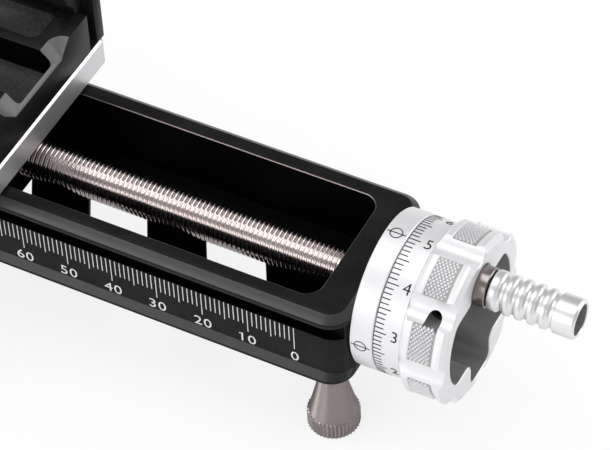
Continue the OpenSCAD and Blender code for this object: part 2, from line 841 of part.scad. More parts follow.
module clamp_base() {
    pocket_len = carriage_len - 2 * pocket_end_wall;
    relief_len = carriage_len - 2 * jaw_notch_len + 2 * free_gap;
    color("#202022") difference() {
        translate([carriage_x, 0, plate_top + clamp_h / 2])
            cube([carriage_len, 2 * base_half, clamp_h], center = true);
        translate([carriage_x, 0, plate_top + pocket_floor])
            round_block([pocket_len, pocket_w], 1, clamp_h);
        translate([carriage_x, 0, bed_z]) for (turn = [0, 180]) rotate([0, 0, turn])
            translate([carriage_half, 0, 0]) end_scoop();
        for (side = [-1, 1])
            translate([carriage_x, side * (camera_land + bed_relief_w / 2 + past / 2), bed_z])
                cube([relief_len, bed_relief_w + past, 2 * bed_relief_h], center = true);
        for (side = [-1, 1])
            translate([carriage_x, side * pad_y, bed_z - pad_depth])
                round_block([carriage_len - 2 * pad_end, pad_w], 2, clamp_h);
        at_clamp_screws(plate_top - past) cylinder(d = clamp_screw_d + 0.3, h = clamp_h);
        at_clamp_screws(bed_z - pad_depth - clamp_head_sink - clamp_screw_head_h)
            cylinder(d = clamp_screw_head_d, h = clamp_h);
        translate([carriage_x, 0, jaw_axis_z]) {
            rotate([90, 0, 0]) translate([0, 0, stud_in])
                cylinder(r = clamp_stud_d / 2 + run_fit, h = base_half);
            for (side = [-1, 1]) translate([side * guide_pin_x, 0, 0]) {
                rotate([90, 0, 0]) translate([0, 0, stud_in])
                    cylinder(r = guide_pin_d / 2 + run_fit, h = base_half);
                rotate([-90, 0, 0]) translate([0, 0, stud_in])
                    cylinder(d = jaw_screw_d, h = base_half);
            }
        }
    }
}

module clamp_base_screws() {
    top = bed_z - pad_depth - clamp_head_sink;
    shank = top - clamp_screw_head_h - clamp_screw_end;
    color("#3a3a3c") at_clamp_screws(clamp_screw_end)
        cap_screw(clamp_screw_d, clamp_screw_head_d, clamp_screw_head_h, shank);
}

// A jaw on the +Y side: upright back, lip over the camera plate, bevelled ends
module jaw_blank() {
    top = bed_z + jaw_rise;
    mouth = bed_z + 0.6;
    back_bevel = 1.2;
    section = [
        [base_half + face_gap / 3, plate_top + face_gap / 3], [jaw_out, plate_top + face_gap / 3],
        [jaw_out, top - back_bevel], [jaw_out - back_bevel, top],
        [base_half - jaw_lip + 0.4, top], [base_half - jaw_lip, top - 0.4],
        [base_half - jaw_lip, mouth + jaw_lip], [base_half + face_gap / 3, mouth]
    ];
    notch_x = carriage_half - jaw_notch_len;
    notch_y = base_half + jaw_notch_w;
    plan = [
        [-notch_x, base_half - jaw_lip - past], [notch_x, base_half - jaw_lip - past],
        [notch_x, notch_y], [carriage_half, notch_y],
        [carriage_half, jaw_out - jaw_corner], [carriage_half - jaw_corner, jaw_out],
        [-carriage_half + jaw_corner, jaw_out], [-carriage_half, jaw_out - jaw_corner],
        [-carriage_half, notch_y], [-notch_x, notch_y]
    ];
    intersection() {
        translate([-carriage_half, 0, 0]) rotate([90, 0, 90])
            linear_extrude(carriage_len) polygon(section);
        linear_extrude(top + past) polygon(plan);
    }
}

module fixed_jaw() {
    head_at = jaw_out - jaw_screw_head_h;
    color("#202022") translate([carriage_x, 0, 0]) difference() {
        jaw_blank();
        for (side = [-1, 1]) translate([side * guide_pin_x, 0, jaw_axis_z]) rotate([-90, 0, 0]) {
            cylinder(d = jaw_screw_d + 0.3, h = jaw_out + past);
            translate([0, 0, head_at]) cylinder(d = jaw_screw_head_d + 0.2, h = jaw_out);
        }
    }
}

module jaw_screws() {
    head_at = jaw_out - jaw_screw_head_h;
    color("#3a3a3c") translate([carriage_x, 0, jaw_axis_z])
        for (side = [-1, 1]) translate([side * guide_pin_x, stud_in, 0]) rotate([-90, 0, 0])
            cap_screw(jaw_screw_d, jaw_screw_head_d, jaw_screw_head_h - 0.1, head_at - stud_in);
}

module moving_jaw() {
    color("#202022") translate([carriage_x, 0, 0]) mirror([0, 1, 0]) difference() {
        jaw_blank();
        translate([0, 0, jaw_axis_z]) rotate([-90, 0, 0])
            cylinder(r = clamp_stud_d / 2 + run_fit, h = jaw_out + past);
        for (side = [-1, 1]) translate([side * guide_pin_x, 0, jaw_axis_z]) rotate([-90, 0, 0])
            cylinder(d = guide_pin_d, h = jaw_out - 1.5);
    }
}

module jaw_guide_pins() {
    color("#a9aaad") translate([carriage_x, 0, jaw_axis_z])
        for (side = [-1, 1]) translate([side * guide_pin_x, -stud_in - face_gap, 0])
            rotate([90, 0, 0]) cylinder(d = guide_pin_d, h = jaw_out - 1.5 - stud_in - face_gap);
}

module clamp_stud() {
    tip = stud_in + face_gap;
    color("#a9aaad") translate([carriage_x, -tip, jaw_axis_z]) rotate([90, 0, 0])
        cylinder(d = clamp_stud_d, h = knob_near + stud_in_knob - tip);
}

module clamp_washer() {
    color("#c8c8ca") translate([carriage_x, -jaw_out - face_gap / 3, jaw_axis_z])
        rotate([90, 0, 0]) tube(clamp_stud_d + 5, clamp_stud_d, washer_t - face_gap / 3);
}

module clamp_knob() {
    r = clamp_knob_d / 2;
    bevel = 1;
    waist = 0.6;
    color("#e6e6e8") translate([carriage_x, -knob_near, jaw_axis_z]) rotate([90, 0, 0]) difference() {
        rotate_extrude() polygon([
            [0, 0], [r - 3, 0], [r - 3, 1.5], [r - waist, 1.5 + bevel], [r, 3.2],
            [r, clamp_knob_len - bevel], [r - bevel, clamp_knob_len], [0, clamp_knob_len]
        ]);
        for (i = [0 : lobes - 1]) rotate([0, 0, i * 360 / lobes])
            translate([r + scallop_r * 0.55, 0, 1.5]) cylinder(r = scallop_r * 0.8, h = clamp_knob_len);
        translate([0, 0, -past]) cylinder(d = clamp_stud_d, h = stud_in_knob + past);
        translate([0, 0, clamp_knob_len - 0.6]) cylinder(r = r - 3.6, h = past);
    }
}

rail_body();
index_collar();
collar_screws();
bearing_outer_rings();
rear_cap();
feet();
lead_screw();
bearing_inner_rings();
bearing_balls();
bearing_spacer();
dial_ring();
knob_body();
knob_screw();
detent_plunger();
crank_pin();
pin_screw();
crank_knuckle();
grip_stud();
grip_washer();
crank_grip();
carriage_plate();
nut_block();
drive_nut();
backlash_nut();
nut_screws();
keeper_front();
keeper_back();
keeper_screws();
slide_liners();
clamp_base();
clamp_base_screws();
fixed_jaw();
jaw_screws();
moving_jaw();
jaw_guide_pins();
clamp_stud();
clamp_knob();
clamp_washer();
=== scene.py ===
"""Studio view of a macro focusing rail.

A milled rail carries a lead screw that a dial knob with a folding crank turns, and a
carriage with a dovetail camera clamp. Sizes are in millimetres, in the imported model's
frame: X runs along the rail towards the knob, -Y is the side with the scale, and the
origin is the mouth of the middle tripod thread. Meshes become metres when published.
"""

from __future__ import annotations

import json
import logging
import math
from dataclasses import dataclass
from enum import Enum
from typing import Callable, Iterable, Sequence

import bmesh
import bpy
from mathutils import Matrix, Vector

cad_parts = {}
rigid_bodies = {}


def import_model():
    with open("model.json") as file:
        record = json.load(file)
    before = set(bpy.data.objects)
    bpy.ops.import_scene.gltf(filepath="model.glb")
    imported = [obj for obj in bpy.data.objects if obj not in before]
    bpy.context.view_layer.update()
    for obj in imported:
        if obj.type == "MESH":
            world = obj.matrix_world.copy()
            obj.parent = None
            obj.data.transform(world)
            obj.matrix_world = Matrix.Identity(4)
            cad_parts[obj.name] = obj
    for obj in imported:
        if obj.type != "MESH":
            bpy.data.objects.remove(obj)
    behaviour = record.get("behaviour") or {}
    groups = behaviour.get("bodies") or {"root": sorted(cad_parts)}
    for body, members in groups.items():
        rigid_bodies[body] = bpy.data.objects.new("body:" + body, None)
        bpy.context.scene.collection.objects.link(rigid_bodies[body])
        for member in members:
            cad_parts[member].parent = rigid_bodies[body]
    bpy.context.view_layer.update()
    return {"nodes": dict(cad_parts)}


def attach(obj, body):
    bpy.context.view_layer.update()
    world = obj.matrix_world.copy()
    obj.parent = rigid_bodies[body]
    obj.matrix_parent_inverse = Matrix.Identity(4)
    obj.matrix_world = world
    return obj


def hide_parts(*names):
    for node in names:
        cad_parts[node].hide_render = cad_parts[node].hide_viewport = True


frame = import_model()

log = logging.getLogger("focusing_rail")

MM = 0.001
# How far a cutter reaches past the part that it cuts.
PAST = 1.0
# Room between faces that mustn't lie in one plane, and in the tests of where a face lies.
SKIN = 0.02
# Points closer than this are one point.
WELD = 1e-5
# A face is level when its normal rises by more than this, and leans between the next two.
LEVEL = 0.9
LEANING = (0.3, 0.95)
# Thickness of the ink on collar and dial, half of it above the surface.
INK = 0.1
SIDES = (-1.0, 1.0)
Point2 = tuple[float, float]
Point3 = tuple[float, float, float]
# One step of a bore or a pin: first station, last station and radius.
Step = tuple[float, float, float]


# ---- Shapes ----


@dataclass(frozen=True)
class Axis:
    """A line that round shapes are built about, with its own zero direction.

    Stations count along the axis, and angles from the zero direction towards the
    quarter direction.
    """

    origin: Point3
    along: Point3
    zero: Point3
    quarter: Point3

    def at(self, station: float, across: float, up: float) -> Vector:
        """Returns the point at a station, offset along the two cross directions."""
        spans = ((self.along, station), (self.zero, across), (self.quarter, up))
        return sum((Vector(way) * span for way, span in spans), Vector(self.origin))

    def polar(self, station: float, radius: float, degrees: float) -> Vector:
        """Returns the point at a station, a radius and an angle."""
        turn = math.radians(degrees)
        return self.at(station, radius * math.cos(turn), radius * math.sin(turn))

    def through(self, point: Vector) -> "Axis":
        """Returns the axis with the same directions through another point."""
        return Axis(tuple(point), self.along, self.zero, self.quarter)

    def distance(self, point: Vector) -> float:
        """Returns how far a point lies from the axis."""
        return (point - Vector(self.origin)).cross(Vector(self.along)).length


def upright(x: float, y: float, z: float = 0.0) -> Axis:
    """Returns an axis that points up from a place."""
    return Axis((x, y, z), (0.0, 0.0, 1.0), (1.0, 0.0, 0.0), (0.0, 1.0, 0.0))


def crosswise(x: float, y: float, z: float, side: float) -> Axis:
    """Returns an axis that points to the side with the sign given, -1 for the scale's."""
    return Axis((x, y, z), (0.0, side, 0.0), (1.0, 0.0, 0.0), (0.0, 0.0, 1.0))


SCREW_HEIGHT = 11.2
SCREW_AXIS = Axis((0.0, 0.0, SCREW_HEIGHT), (1.0, 0.0, 0.0), (0.0, -1.0, 0.0), (0.0, 0.0, 1.0))
# The crank stands this far out from the screw, and folds about a pin at this X.
CRANK_THROW = 9.9
CRANK_PIN_X = 115.8
CRANK_AXIS = SCREW_AXIS.through(SCREW_AXIS.at(0.0, 0.0, CRANK_THROW))
CRANK_PIN_AXIS = crosswise(CRANK_PIN_X, 0.0, SCREW_HEIGHT + CRANK_THROW, -1.0)
RAIL_SECTION = Axis((0.0, 0.0, 0.0), (1.0, 0.0, 0.0), (0.0, 1.0, 0.0), (0.0, 0.0, 1.0))


def leans(normal: Vector) -> bool:
    """Says whether a face with this normal leans, between upright and level."""
    return LEANING[0] < normal.z < LEANING[1]


def faces_down(centre: Vector, normal: Vector) -> bool:
    """Says whether a face is a cutter's level underside."""
    return normal.z < -LEVEL


def placed(name: str, data: bpy.types.ID) -> bpy.types.Object:
    """Makes an object of its data and links it to the scene.

    Args:
        name: The object's name.
        data: Its mesh, text, lamp or camera.

    Returns:
        The object.
    """
    made = bpy.data.objects.new(name, data)
    bpy.context.scene.collection.objects.link(made)
    return made


def rounded_outline(length: float, width: float, radius: float, steps: int) -> list[Point2]:
    """Outlines a rectangle with round corners.

    Args:
        length: Size along the first direction.
        width: Size along the second direction.
        radius: Radius of the corners.
        steps: Number of pieces in each corner.

    Returns:
        The outline's points, anticlockwise from the first corner.
    """
    points = []
    for corner, (sx, sy) in enumerate(((1, 1), (-1, 1), (-1, -1), (1, -1))):
        for i in range(steps + 1):
            turn = math.radians(90.0 * (corner + i / steps))
            x, y = sx * (length / 2 - radius), sy * (width / 2 - radius)
            points.append((x + radius * math.cos(turn), y + radius * math.sin(turn)))
    return points


def filleted(corners: Sequence[tuple[float, float, float]], steps: int = 8) -> list[Point2]:
    """Rounds the corners of a closed outline.

    Args:
        corners: Each corner's place and the radius that it gets, 0 to keep it sharp.
        steps: Number of pieces in each rounded corner.

    Returns:
        The rounded outline's points.
    """
    points = []
    for i, (x, y, radius) in enumerate(corners):
        here = Vector((x, y))
        back = (Vector(corners[i - 1][:2]) - here).normalized()
        ahead = (Vector(corners[(i + 1) % len(corners)][:2]) - here).normalized()
        if radius <= 0.0:
            points.append((x, y))
            continue
        half = back.angle(ahead) / 2
        centre = here + (back + ahead).normalized() * (radius / math.sin(half))
        start = here + back * (radius / math.tan(half)) - centre
        end = here + ahead * (radius / math.tan(half)) - centre
        first = math.atan2(start.y, start.x)
        sweep = (math.atan2(end.y, end.x) - first + math.pi) % math.tau - math.pi
        for k in range(steps + 1):
            turn = first + sweep * k / steps
            points.append((centre.x + radius * math.cos(turn), centre.y + radius * math.sin(turn)))
    return points


def circle_outline(segments: int, *radii: float) -> list[Point2]:
    """Outlines a circle about the origin, or a toothed one whose radii take turns.

    Args:
        segments: Number of points.
        radii: The radii, which repeat from point to point.

    Returns:
        The points.
    """
    points = []
    for i in range(segments):
        radius, turn = radii[i % len(radii)], math.tau * i / segments
        points.append((radius * math.cos(turn), radius * math.sin(turn)))
    return points


class Form:
    """A mesh under construction, in millimetres."""

    # Empty material places, which let material numbers pass through a cut.
    CUT_SLOTS = 4
    # The least angle between two faces whose edge is rounded, in degrees.
    EASED_FROM = 38.0

    def __init__(self, mesh: bmesh.types.BMesh | None = None) -> None:
        """Starts from a mesh, or from nothing."""
        self.mesh = mesh if mesh is not None else bmesh.new()

    @classmethod
    def loft(cls, rings: Sequence[Sequence[Vector]], looped: bool = False) -> "Form":
        """Skins a row of rings that have the same number of points.

        Args:
            rings: The rings, in order.
            looped: Whether the last ring joins the first, as in a torus.

        Returns:
            The closed shape.
        """
        mesh = bmesh.new()
        rows = [[mesh.verts.new(point) for point in ring] for ring in rings]
        count = len(rows[0])
        pairs = list(zip(rows, rows[1:])) + ([(rows[-1], rows[0])] if looped else [])
        for low, high in pairs:
            for i in range(count):
                j = (i + 1) % count
                mesh.faces.new((low[i], low[j], high[j], high[i]))
        if not looped:
            mesh.faces.new(list(reversed(rows[0])))
            mesh.faces.new(rows[-1])
        return cls(mesh).settled()

    @classmethod
    def prism(cls, axis: Axis, outline: Sequence[Point2], low: float, high: float) -> "Form":
        """Extrudes an outline along an axis from one station to another."""
        return cls.loft([[axis.at(s, u, v) for u, v in outline] for s in (low, high)])

    @classmethod
    def stack(cls, axis: Axis, levels: Iterable[tuple[float, Sequence[Point2]]]) -> "Form":
        """Skins outlines that stand at stations of an axis."""
        return cls.loft([[axis.at(s, u, v) for u, v in outline] for s, outline in levels])

    @classmethod
    def block(cls, axis: Axis, levels: Iterable[tuple[float, ...]], steps: int = 16) -> "Form":
        """Skins rectangles with round corners that stand at stations of an axis.

        Args:
            axis: The axis through their middles.
            levels: Each one's station, length, width and corner radius.
            steps: Number of pieces in each corner.

        Returns:
            The closed block.
        """
        return cls.stack(axis, [(s, rounded_outline(*size, steps)) for s, *size in levels])

    @classmethod
    def box(cls, low: Sequence[float], high: Sequence[float]) -> "Form":
        """Builds a block between two corners."""
        outline = [(low[0], low[1]), (high[0], low[1]), (high[0], high[1]), (low[0], high[1])]
        return cls.prism(upright(0.0, 0.0), outline, low[2], high[2])

    @classmethod
    def turned(cls, axis: Axis, profile: Sequence[Point2], segments: int = 96) -> "Form":
        """Revolves a profile of (station, radius) points about an axis.

        Args:
            axis: The axis of revolution.
            profile: The points. A profile that starts and ends on the axis makes a solid
                shape, and any other one is taken as a loop, which makes a ring.
            segments: Number of pieces round the axis.

        Returns:
            The closed shape.
        """
        on_axis = profile[0][1] == profile[-1][1] == 0.0
        points = profile[1:-1] if on_axis else profile
        turns = [360.0 * i / segments for i in range(segments)]
        rings = [[axis.polar(s, r, turn) for turn in turns] for s, r in points]
        return cls.loft(rings, looped=not on_axis)

    @classmethod
    def rod(cls, axis: Axis, *steps: Step, segments: int = 48) -> "Form":
        """Builds a straight or stepped round bar, or a cutter for such a hole.

        Args:
            axis: The bar's axis.
            steps: Its steps, in order.
            segments: Number of pieces round it.

        Returns:
            The closed bar.
        """
        profile = [(steps[0][0], 0.0)]
        for start, end, radius in steps:
            profile += [(start, radius), (end, radius)]
        return cls.turned(axis, [*profile, (steps[-1][1], 0.0)], segments)

    def settled(self) -> "Form":
        """Turns all faces outwards and returns the same form."""
        bmesh.ops.recalc_face_normals(self.mesh, faces=self.mesh.faces)
        return self

    def welded(self) -> "Form":
        """Joins points that lie together.

        Returns:
            The same form.
        """
        bmesh.ops.remove_doubles(self.mesh, verts=self.mesh.verts, dist=WELD)
        bmesh.ops.dissolve_degenerate(self.mesh, dist=WELD, edges=self.mesh.edges)
        return self

    def marked(self, slot: int, test: Callable[[Vector, Vector], bool] | None = None) -> "Form":
        """Gives faces a material number.

        Args:
            slot: The number.
            test: Says from a face's centre and normal whether it is meant. All are, if left out.

        Returns:
            The same form.
        """
        for face in self.mesh.faces:
            if test is None or test(face.calc_center_median(), face.normal):
                face.material_index = slot
        return self

    def warped(self, move: Callable[[Vector], Vector]) -> "Form":
        """Moves each point by a function and returns the same form."""
        for vert in self.mesh.verts:
            vert.co = move(vert.co)
        return self.settled()

    def with_shells(self, *others: "Form") -> "Form":
        """Adds other shapes as separate shells.

        Args:
            others: The shapes.

        Returns:
            The same form.
        """
        for other in others:
            scratch = bpy.data.meshes.new("shell")
            other.mesh.to_mesh(scratch)
            self.mesh.from_mesh(scratch)
            bpy.data.meshes.remove(scratch)
        return self

    def _object(self, name: str) -> bpy.types.Object:
        """Puts the form in the scene as a temporary object.

        Args:
            name: The object's name.

        Returns:
            The object.
        """
        data = bpy.data.meshes.new(name)
        self.mesh.to_mesh(data)
        for _ in range(self.CUT_SLOTS):
            data.materials.append(None)
        return placed(name, data)

    @classmethod
    def taken(cls, base: bpy.types.Object, others: Sequence[bpy.types.Object] = ()) -> "Form":
        """Takes an object's shape with its modifiers applied, and removes all objects given.

        Args:
            base: The object.
            others: Objects that its modifiers use.

        Returns:
            The shape.
        """
        bpy.context.view_layer.update()
        graph = bpy.context.evaluated_depsgraph_get()
        result = bpy.data.meshes.new_from_object(base.evaluated_get(graph))
        mesh = bmesh.new()
        mesh.from_mesh(result)
        things = (base, *others)
        bpy.data.batch_remove([result, *things, *(thing.data for thing in things)])
        return cls(mesh)

    def cut(self, *tools: "Form") -> "Form":
        """Takes other forms away one after another.

        Args:
            tools: The forms. The faces that they leave keep their material numbers.

        Returns:
            The form that is left.
        """
        base = self._object("base")
        others = [tool._object(f"tool_{i}") for i, tool in enumerate(tools)]
        for other in others:
            step = base.modifiers.new(other.name, "BOOLEAN")
            step.operation = "DIFFERENCE"
            step.object = other
            step.solver = "EXACT"
            step.material_mode = "INDEX"
        return Form.taken(base, others)

    def eased(self, width: float) -> "Form":
        """Rounds the edges that are sharper than an angle.

        Args:
            width: How far the rounding reaches from the edge.

        Returns:
            The rounded form.
        """
        base = self._object("base")
        step = base.modifiers.new("ease", "BEVEL")
        step.width = width
        step.segments = 2
        step.limit_method = "ANGLE"
        step.angle_limit = math.radians(self.EASED_FROM)
        step.use_clamp_overlap = False
        step.miter_outer = "MITER_ARC"
        return Form.taken(base)


# ---- Finishes ----


def linear(code: str) -> tuple[float, float, float, float]:
    """Turns an sRGB hex colour into linear values.

    Args:
        code: The colour, such as "#1c1c1d".

    Returns:
        Red, green, blue and an alpha of 1.
    """

    def channel(start: int) -> float:
        """Returns the linear value of the channel whose digits start there."""
        value = int(code[start : start + 2], 16) / 255.0
        return value / 12.92 if value <= 0.04045 else ((value + 0.055) / 1.055) ** 2.4

    return channel(1), channel(3), channel(5), 1.0


def put(
    tree: bpy.types.NodeTree, kind: str, settings: dict | None = None, **links: bpy.types.NodeSocket
) -> bpy.types.Node:
    """Adds one node with its settings and links.

    Args:
        tree: The node tree.
        kind: The node's type name.
        settings: Values by input name or number, or by the node's own property name.
        links: Output sockets by input name, with underscores for spaces.

    Returns:
        The node.
    """
    node = tree.nodes.new(kind)
    for name, value in (settings or {}).items():
        if isinstance(name, int) or name in node.inputs:
            node.inputs[name].default_value = value
        else:
            setattr(node, name, value)
    for name, socket in links.items():
        key = int(name[1:]) if name[1:].isdigit() else name.replace("_", " ")
        tree.links.new(socket, node.inputs[key])
    return node


def bare_tree(owner: bpy.types.Material | bpy.types.World) -> bpy.types.NodeTree:
    """Gives a material or a world an empty node tree.

    Args:
        owner: The material or the world.

    Returns:
        The tree.
    """
    owner.use_nodes = True
    owner.node_tree.nodes.clear()
    return owner.node_tree


# Broad clouds of tone in every finish: their size, and their share of the pattern.
CLOUD_MM = 9.0
CLOUD_SHARE = 0.35
# The part of the pattern that the two tones span, and how far the roughness follows it.
TONE_RANGE = (0.3, 0.7)
SHEEN_SPREAD = (0.88, 1.1)
# How slowly turned rings change round the part, and scratches along the stock.
RING_STRETCH = 0.004
SCRATCH_STRETCH = 0.02


class Pattern(Enum):
    """What a finish's surface shows up close."""

    BLASTED = "blasted"
    TURNED = "turned"
    DRAWN = "drawn"
    SMOOTH = "smooth"


@dataclass(frozen=True)
class Finish:
    """A material as it was made: its colour, how it shines, and its surface pattern."""

    name: str
    colour: str
    deep_colour: str
    metallic: float
    roughness: float
    specular: float = 0.5
    pattern: Pattern = Pattern.SMOOTH
    grain_mm: float = 0.2
    grain_depth_mm: float = 0.004
    direction: Point3 = (1.0, 0.0, 0.0)
    anisotropy: float = 0.0

    def material(self) -> bpy.types.Material:
        """Builds the material, the first time that it is asked for.

        Returns:
            The material.
        """
        known = bpy.data.materials.get(self.name)
        if known is not None:
            return known
        made = bpy.data.materials.new(self.name)
        tree = bare_tree(made)
        place = put(tree, "ShaderNodeTexCoord").outputs["Object"]
        grain = self._grain(tree, place)
        settings = {"Scale": 1.0 / (CLOUD_MM * MM), "Detail": 3.0}
        cloud = put(tree, "ShaderNodeTexNoise", settings, Vector=place)
        settings = {"operation": "MULTIPLY", 1: 1.0 - CLOUD_SHARE}
        fine = put(tree, "ShaderNodeMath", settings, _0=grain)
        mixed = put(
            tree, "ShaderNodeMath", {"operation": "MULTIPLY_ADD", 1: CLOUD_SHARE},
            _0=cloud.outputs[0], _2=fine.outputs[0],
        )
        low, high = TONE_RANGE
        ramp = put(tree, "ShaderNodeValToRGB", Fac=mixed.outputs[0])
        tones = ((low, self.deep_colour), (high, self.colour))
        for stop, (position, colour) in zip(ramp.color_ramp.elements, tones):
            stop.position = position
            stop.color = linear(colour)
        smooth, rough = (min(1.0, self.roughness * part) for part in SHEEN_SPREAD)
        sheen = put(
            tree, "ShaderNodeMapRange",
            {"From Min": low, "From Max": high, "To Min": smooth, "To Max": rough},
            Value=mixed.outputs[0],
        )
        settings = {"Strength": 1.0, "Distance": self.grain_depth_mm * MM}
        bump = put(tree, "ShaderNodeBump", settings, Height=grain)
        skin = put(
            tree, "ShaderNodeBsdfPrincipled",
            {"Metallic": self.metallic, "Specular IOR Level": self.specular,
             "Anisotropic": self.anisotropy},
            Base_Color=ramp.outputs["Color"],
            Roughness=sheen.outputs["Result"],
            Normal=bump.outputs["Normal"],
        )
        if self.anisotropy > 0.0:
            # Fine turning rings stretch a highlight along the axis that they run about.
            x, y, z = self.direction
            axis = put(tree, "ShaderNodeCombineXYZ", {"X": x, "Y": y, "Z": z})
            tangent = put(
                tree, "ShaderNodeVectorTransform",
                {"vector_type": "VECTOR", "convert_from": "OBJECT", "convert_to": "WORLD"},
                _0=axis.outputs[0],
            )
            tree.links.new(tangent.outputs[0], skin.inputs["Tangent"])
        put(tree, "ShaderNodeOutputMaterial", Surface=skin.outputs["BSDF"])
        return made

    def _grain(
        self, tree: bpy.types.NodeTree, place: bpy.types.NodeSocket
    ) -> bpy.types.NodeSocket:
        """Builds the surface pattern.

        Args:
            tree: The material's node tree.
            place: The point on the part.

        Returns:
            The pattern's height, from 0 to 1.
        """
        scale = 1.0 / (self.grain_mm * MM)
        stretch = None
        if self.pattern is Pattern.TURNED:
            # Fine rings left by the lathe tool: quick along the part's axis, slow round it.
            stretch = [scale if part else scale * RING_STRETCH for part in self.direction]
        elif self.pattern is Pattern.DRAWN:
            # Long scratches along the stock.
            stretch = [scale * SCRATCH_STRETCH if part else scale for part in self.direction]
        if stretch is not None:
            place = put(
                tree, "ShaderNodeVectorMath", {"operation": "MULTIPLY", 1: stretch}, _0=place
            ).outputs[0]
            scale = 1.0
        settings = {"Scale": scale, "Detail": 2.0, "Roughness": 0.6}
        return put(tree, "ShaderNodeTexNoise", settings, Vector=place).outputs[0]


# The two last numbers of a finish are its grain's size and depth in millimetres. The real
# grains measure about 0.05 mm, too fine to show, and are drawn as coarse as the picture needs.

# Aluminium, bead blasted and dyed black: soft, slightly grey sheen with an even grain.
BLACK_ANODISED = Finish(
    "black_anodised_blasted", "#232324", "#030304", 0.0, 0.34, 0.12, Pattern.BLASTED, 0.3, 0.03
)
# The same aluminium, milled and dyed black without blasting: smoother and a little glossier.
BLACK_MILLED = Finish(
    "black_anodised_milled", "#141415", "#0b0b0c", 0.0, 0.36, 0.2, Pattern.DRAWN, 0.25, 0.003
)
# Chamfers milled after the blasting: smoother, so they catch the light along their length.
BLACK_CHAMFER = Finish(
    "black_anodised_chamfer", "#1f1f20", "#161617", 0.0, 0.42, 1.0, Pattern.DRAWN, 0.25, 0.002
)
# The slope of the rail's foot, a duller cut than the top bevel.
BLACK_STEP = Finish(
    "black_anodised_step", "#171718", "#0f0f10", 0.0, 0.42, 0.62, Pattern.DRAWN, 0.14, 0.004
)
# The clamp's end ramps: paler than the rest, a painted highlight for the light that their flared
# faces catch.
BLACK_RAMP_PAINTED_HIGHLIGHT = Finish(
    "black_anodised_ramp_painted_highlight", "#5f5f60", "#4c4c4d", 0.0, 0.42, 1.0, Pattern.BLASTED, 0.3, 0.008
)
# Floors of the clamp's pads and pocket, blasted with coarser beads: dark with pale specks.
BLACK_GRAINY = Finish(
    "black_anodised_grainy", "#3b3938", "#0a0a0a", 0.0, 0.45, 0.3, Pattern.BLASTED, 0.34, 0.03
)
# Inside of the window and the other hollows: near black, painted shade for the little light that
# gets in.
BLACK_PAINTED_SHADE = Finish(
    "black_anodised_painted_shade", "#050506", "#020203", 0.0, 0.5, 0.04, Pattern.BLASTED, 0.3, 0.004
)
# Aluminium cut bare after dyeing: a bright line with a warm cast.
BARE_EDGE = Finish(
    "bare_cut_aluminium", "#a89a97", "#8d807d", 0.9, 0.3, 0.5, Pattern.DRAWN, 0.2, 0.002
)
# Aluminium, bead blasted and clear anodised: pale satin metal with a fine grain.
SILVER_ANODISED = Finish(
    "clear_anodised_blasted", "#ededef", "#e2e2e5", 0.5, 0.48, 0.5, Pattern.BLASTED, 0.22, 0.005
)
# The grip: turned, lightly blasted and clear anodised, so it shines more than the knob.
SILVER_GRIP = Finish(
    "clear_anodised_grip", "#f2f2f3", "#e6e6e8", 0.85, 0.36, 0.5, Pattern.BLASTED, 0.22, 0.005
)
# The carriage plate: clear anodised over fine milling, a little shinier.
SILVER_MILLED = Finish(
    "clear_anodised_milled", "#e6e6e8", "#dcdcdf", 0.85, 0.38, 0.5, Pattern.BLASTED, 0.25, 0.002
)
# Floor of the knurled fields: the same metal, greyed as painted shade between the pressed diamonds.
SILVER_GROOVE_PAINTED_SHADE = Finish(
    "clear_anodised_groove_painted_shade", "#b4b1b1", "#a5a1a1", 0.4, 0.5, 0.4, Pattern.BLASTED, 0.2, 0.003
)
# The knob's pocket and the grip's hollow: clear anodised but milled, and greyed as painted shade
# inside.
SILVER_PAINTED_SHADE = Finish(
    "clear_anodised_pocket_painted_shade", "#b2b1b2", "#9e9d9e", 0.55, 0.36, 0.5, Pattern.DRAWN, 0.25, 0.004
)
# Dark ink baked into engraved lines and numerals.
DARK_FILL = Finish("engraving_fill_dark", "#1d1919", "#151212", 0.0, 0.6, 0.3)
# White ink in the rail's scale.
WHITE_FILL = Finish("engraving_fill_white", "#dcdcdc", "#c9c9c9", 0.0, 0.6, 0.3)
# Rolled steel thread: bright crests with a faint pink cast.
SCREW_STEEL = Finish("rolled_thread_steel", "#ebe2e0", "#dbd0ce", 1.0, 0.17)
# Ground and polished steel of pins, studs and spacers.
PIN_STEEL = Finish(
    "ground_steel", "#c3c2c4", "#aeadaf", 1.0, 0.24, 0.5, Pattern.TURNED, 0.15, 0.002
)
# Hardened chrome steel of the bearings.
BEARING_STEEL = Finish(
    "bearing_steel", "#d3d3d6", "#c4c4c8", 1.0, 0.14, 0.5, Pattern.TURNED, 0.1, 0.001
)
# Blackened steel screws: a thin oil-dark oxide with a soft sheen.
SCREW_BLACK = Finish(
    "blackened_steel", "#2a2a2c", "#1c1c1e", 0.6, 0.38, 0.4, Pattern.BLASTED, 0.2, 0.003
)
# Stainless steel, turned: warm grey. Its rings are too fine to show, so only the bright streak
# along the cone that comes of them is drawn.
FOOT_STEEL = Finish(
    "turned_stainless", "#b8adac", "#9c9190", 1.0, 0.42, 0.5, Pattern.BLASTED, 0.3, 0.003,
    direction=(0.0, 0.0, 1.0), anisotropy=0.92,
)
# Dark bronze coating, brushed: warm dark grey.
KNUCKLE_BRONZE = Finish(
    "brushed_dark_bronze", "#9c9391", "#847c7a", 0.95, 0.26, 0.5, Pattern.TURNED, 0.14, 0.003
)
# Turned bronze nuts, darkened by oil.
NUT_BRONZE = Finish(
    "oiled_bronze", "#4a3c2c", "#3a2f22", 0.9, 0.4, 0.5, Pattern.TURNED, 0.15, 0.003
)
# Black acetal of the liners and the grip's washer: a waxy plastic.
ACETAL = Finish("black_acetal", "#161617", "#101011", 0.0, 0.5, 0.3, Pattern.BLASTED, 0.4, 0.002)


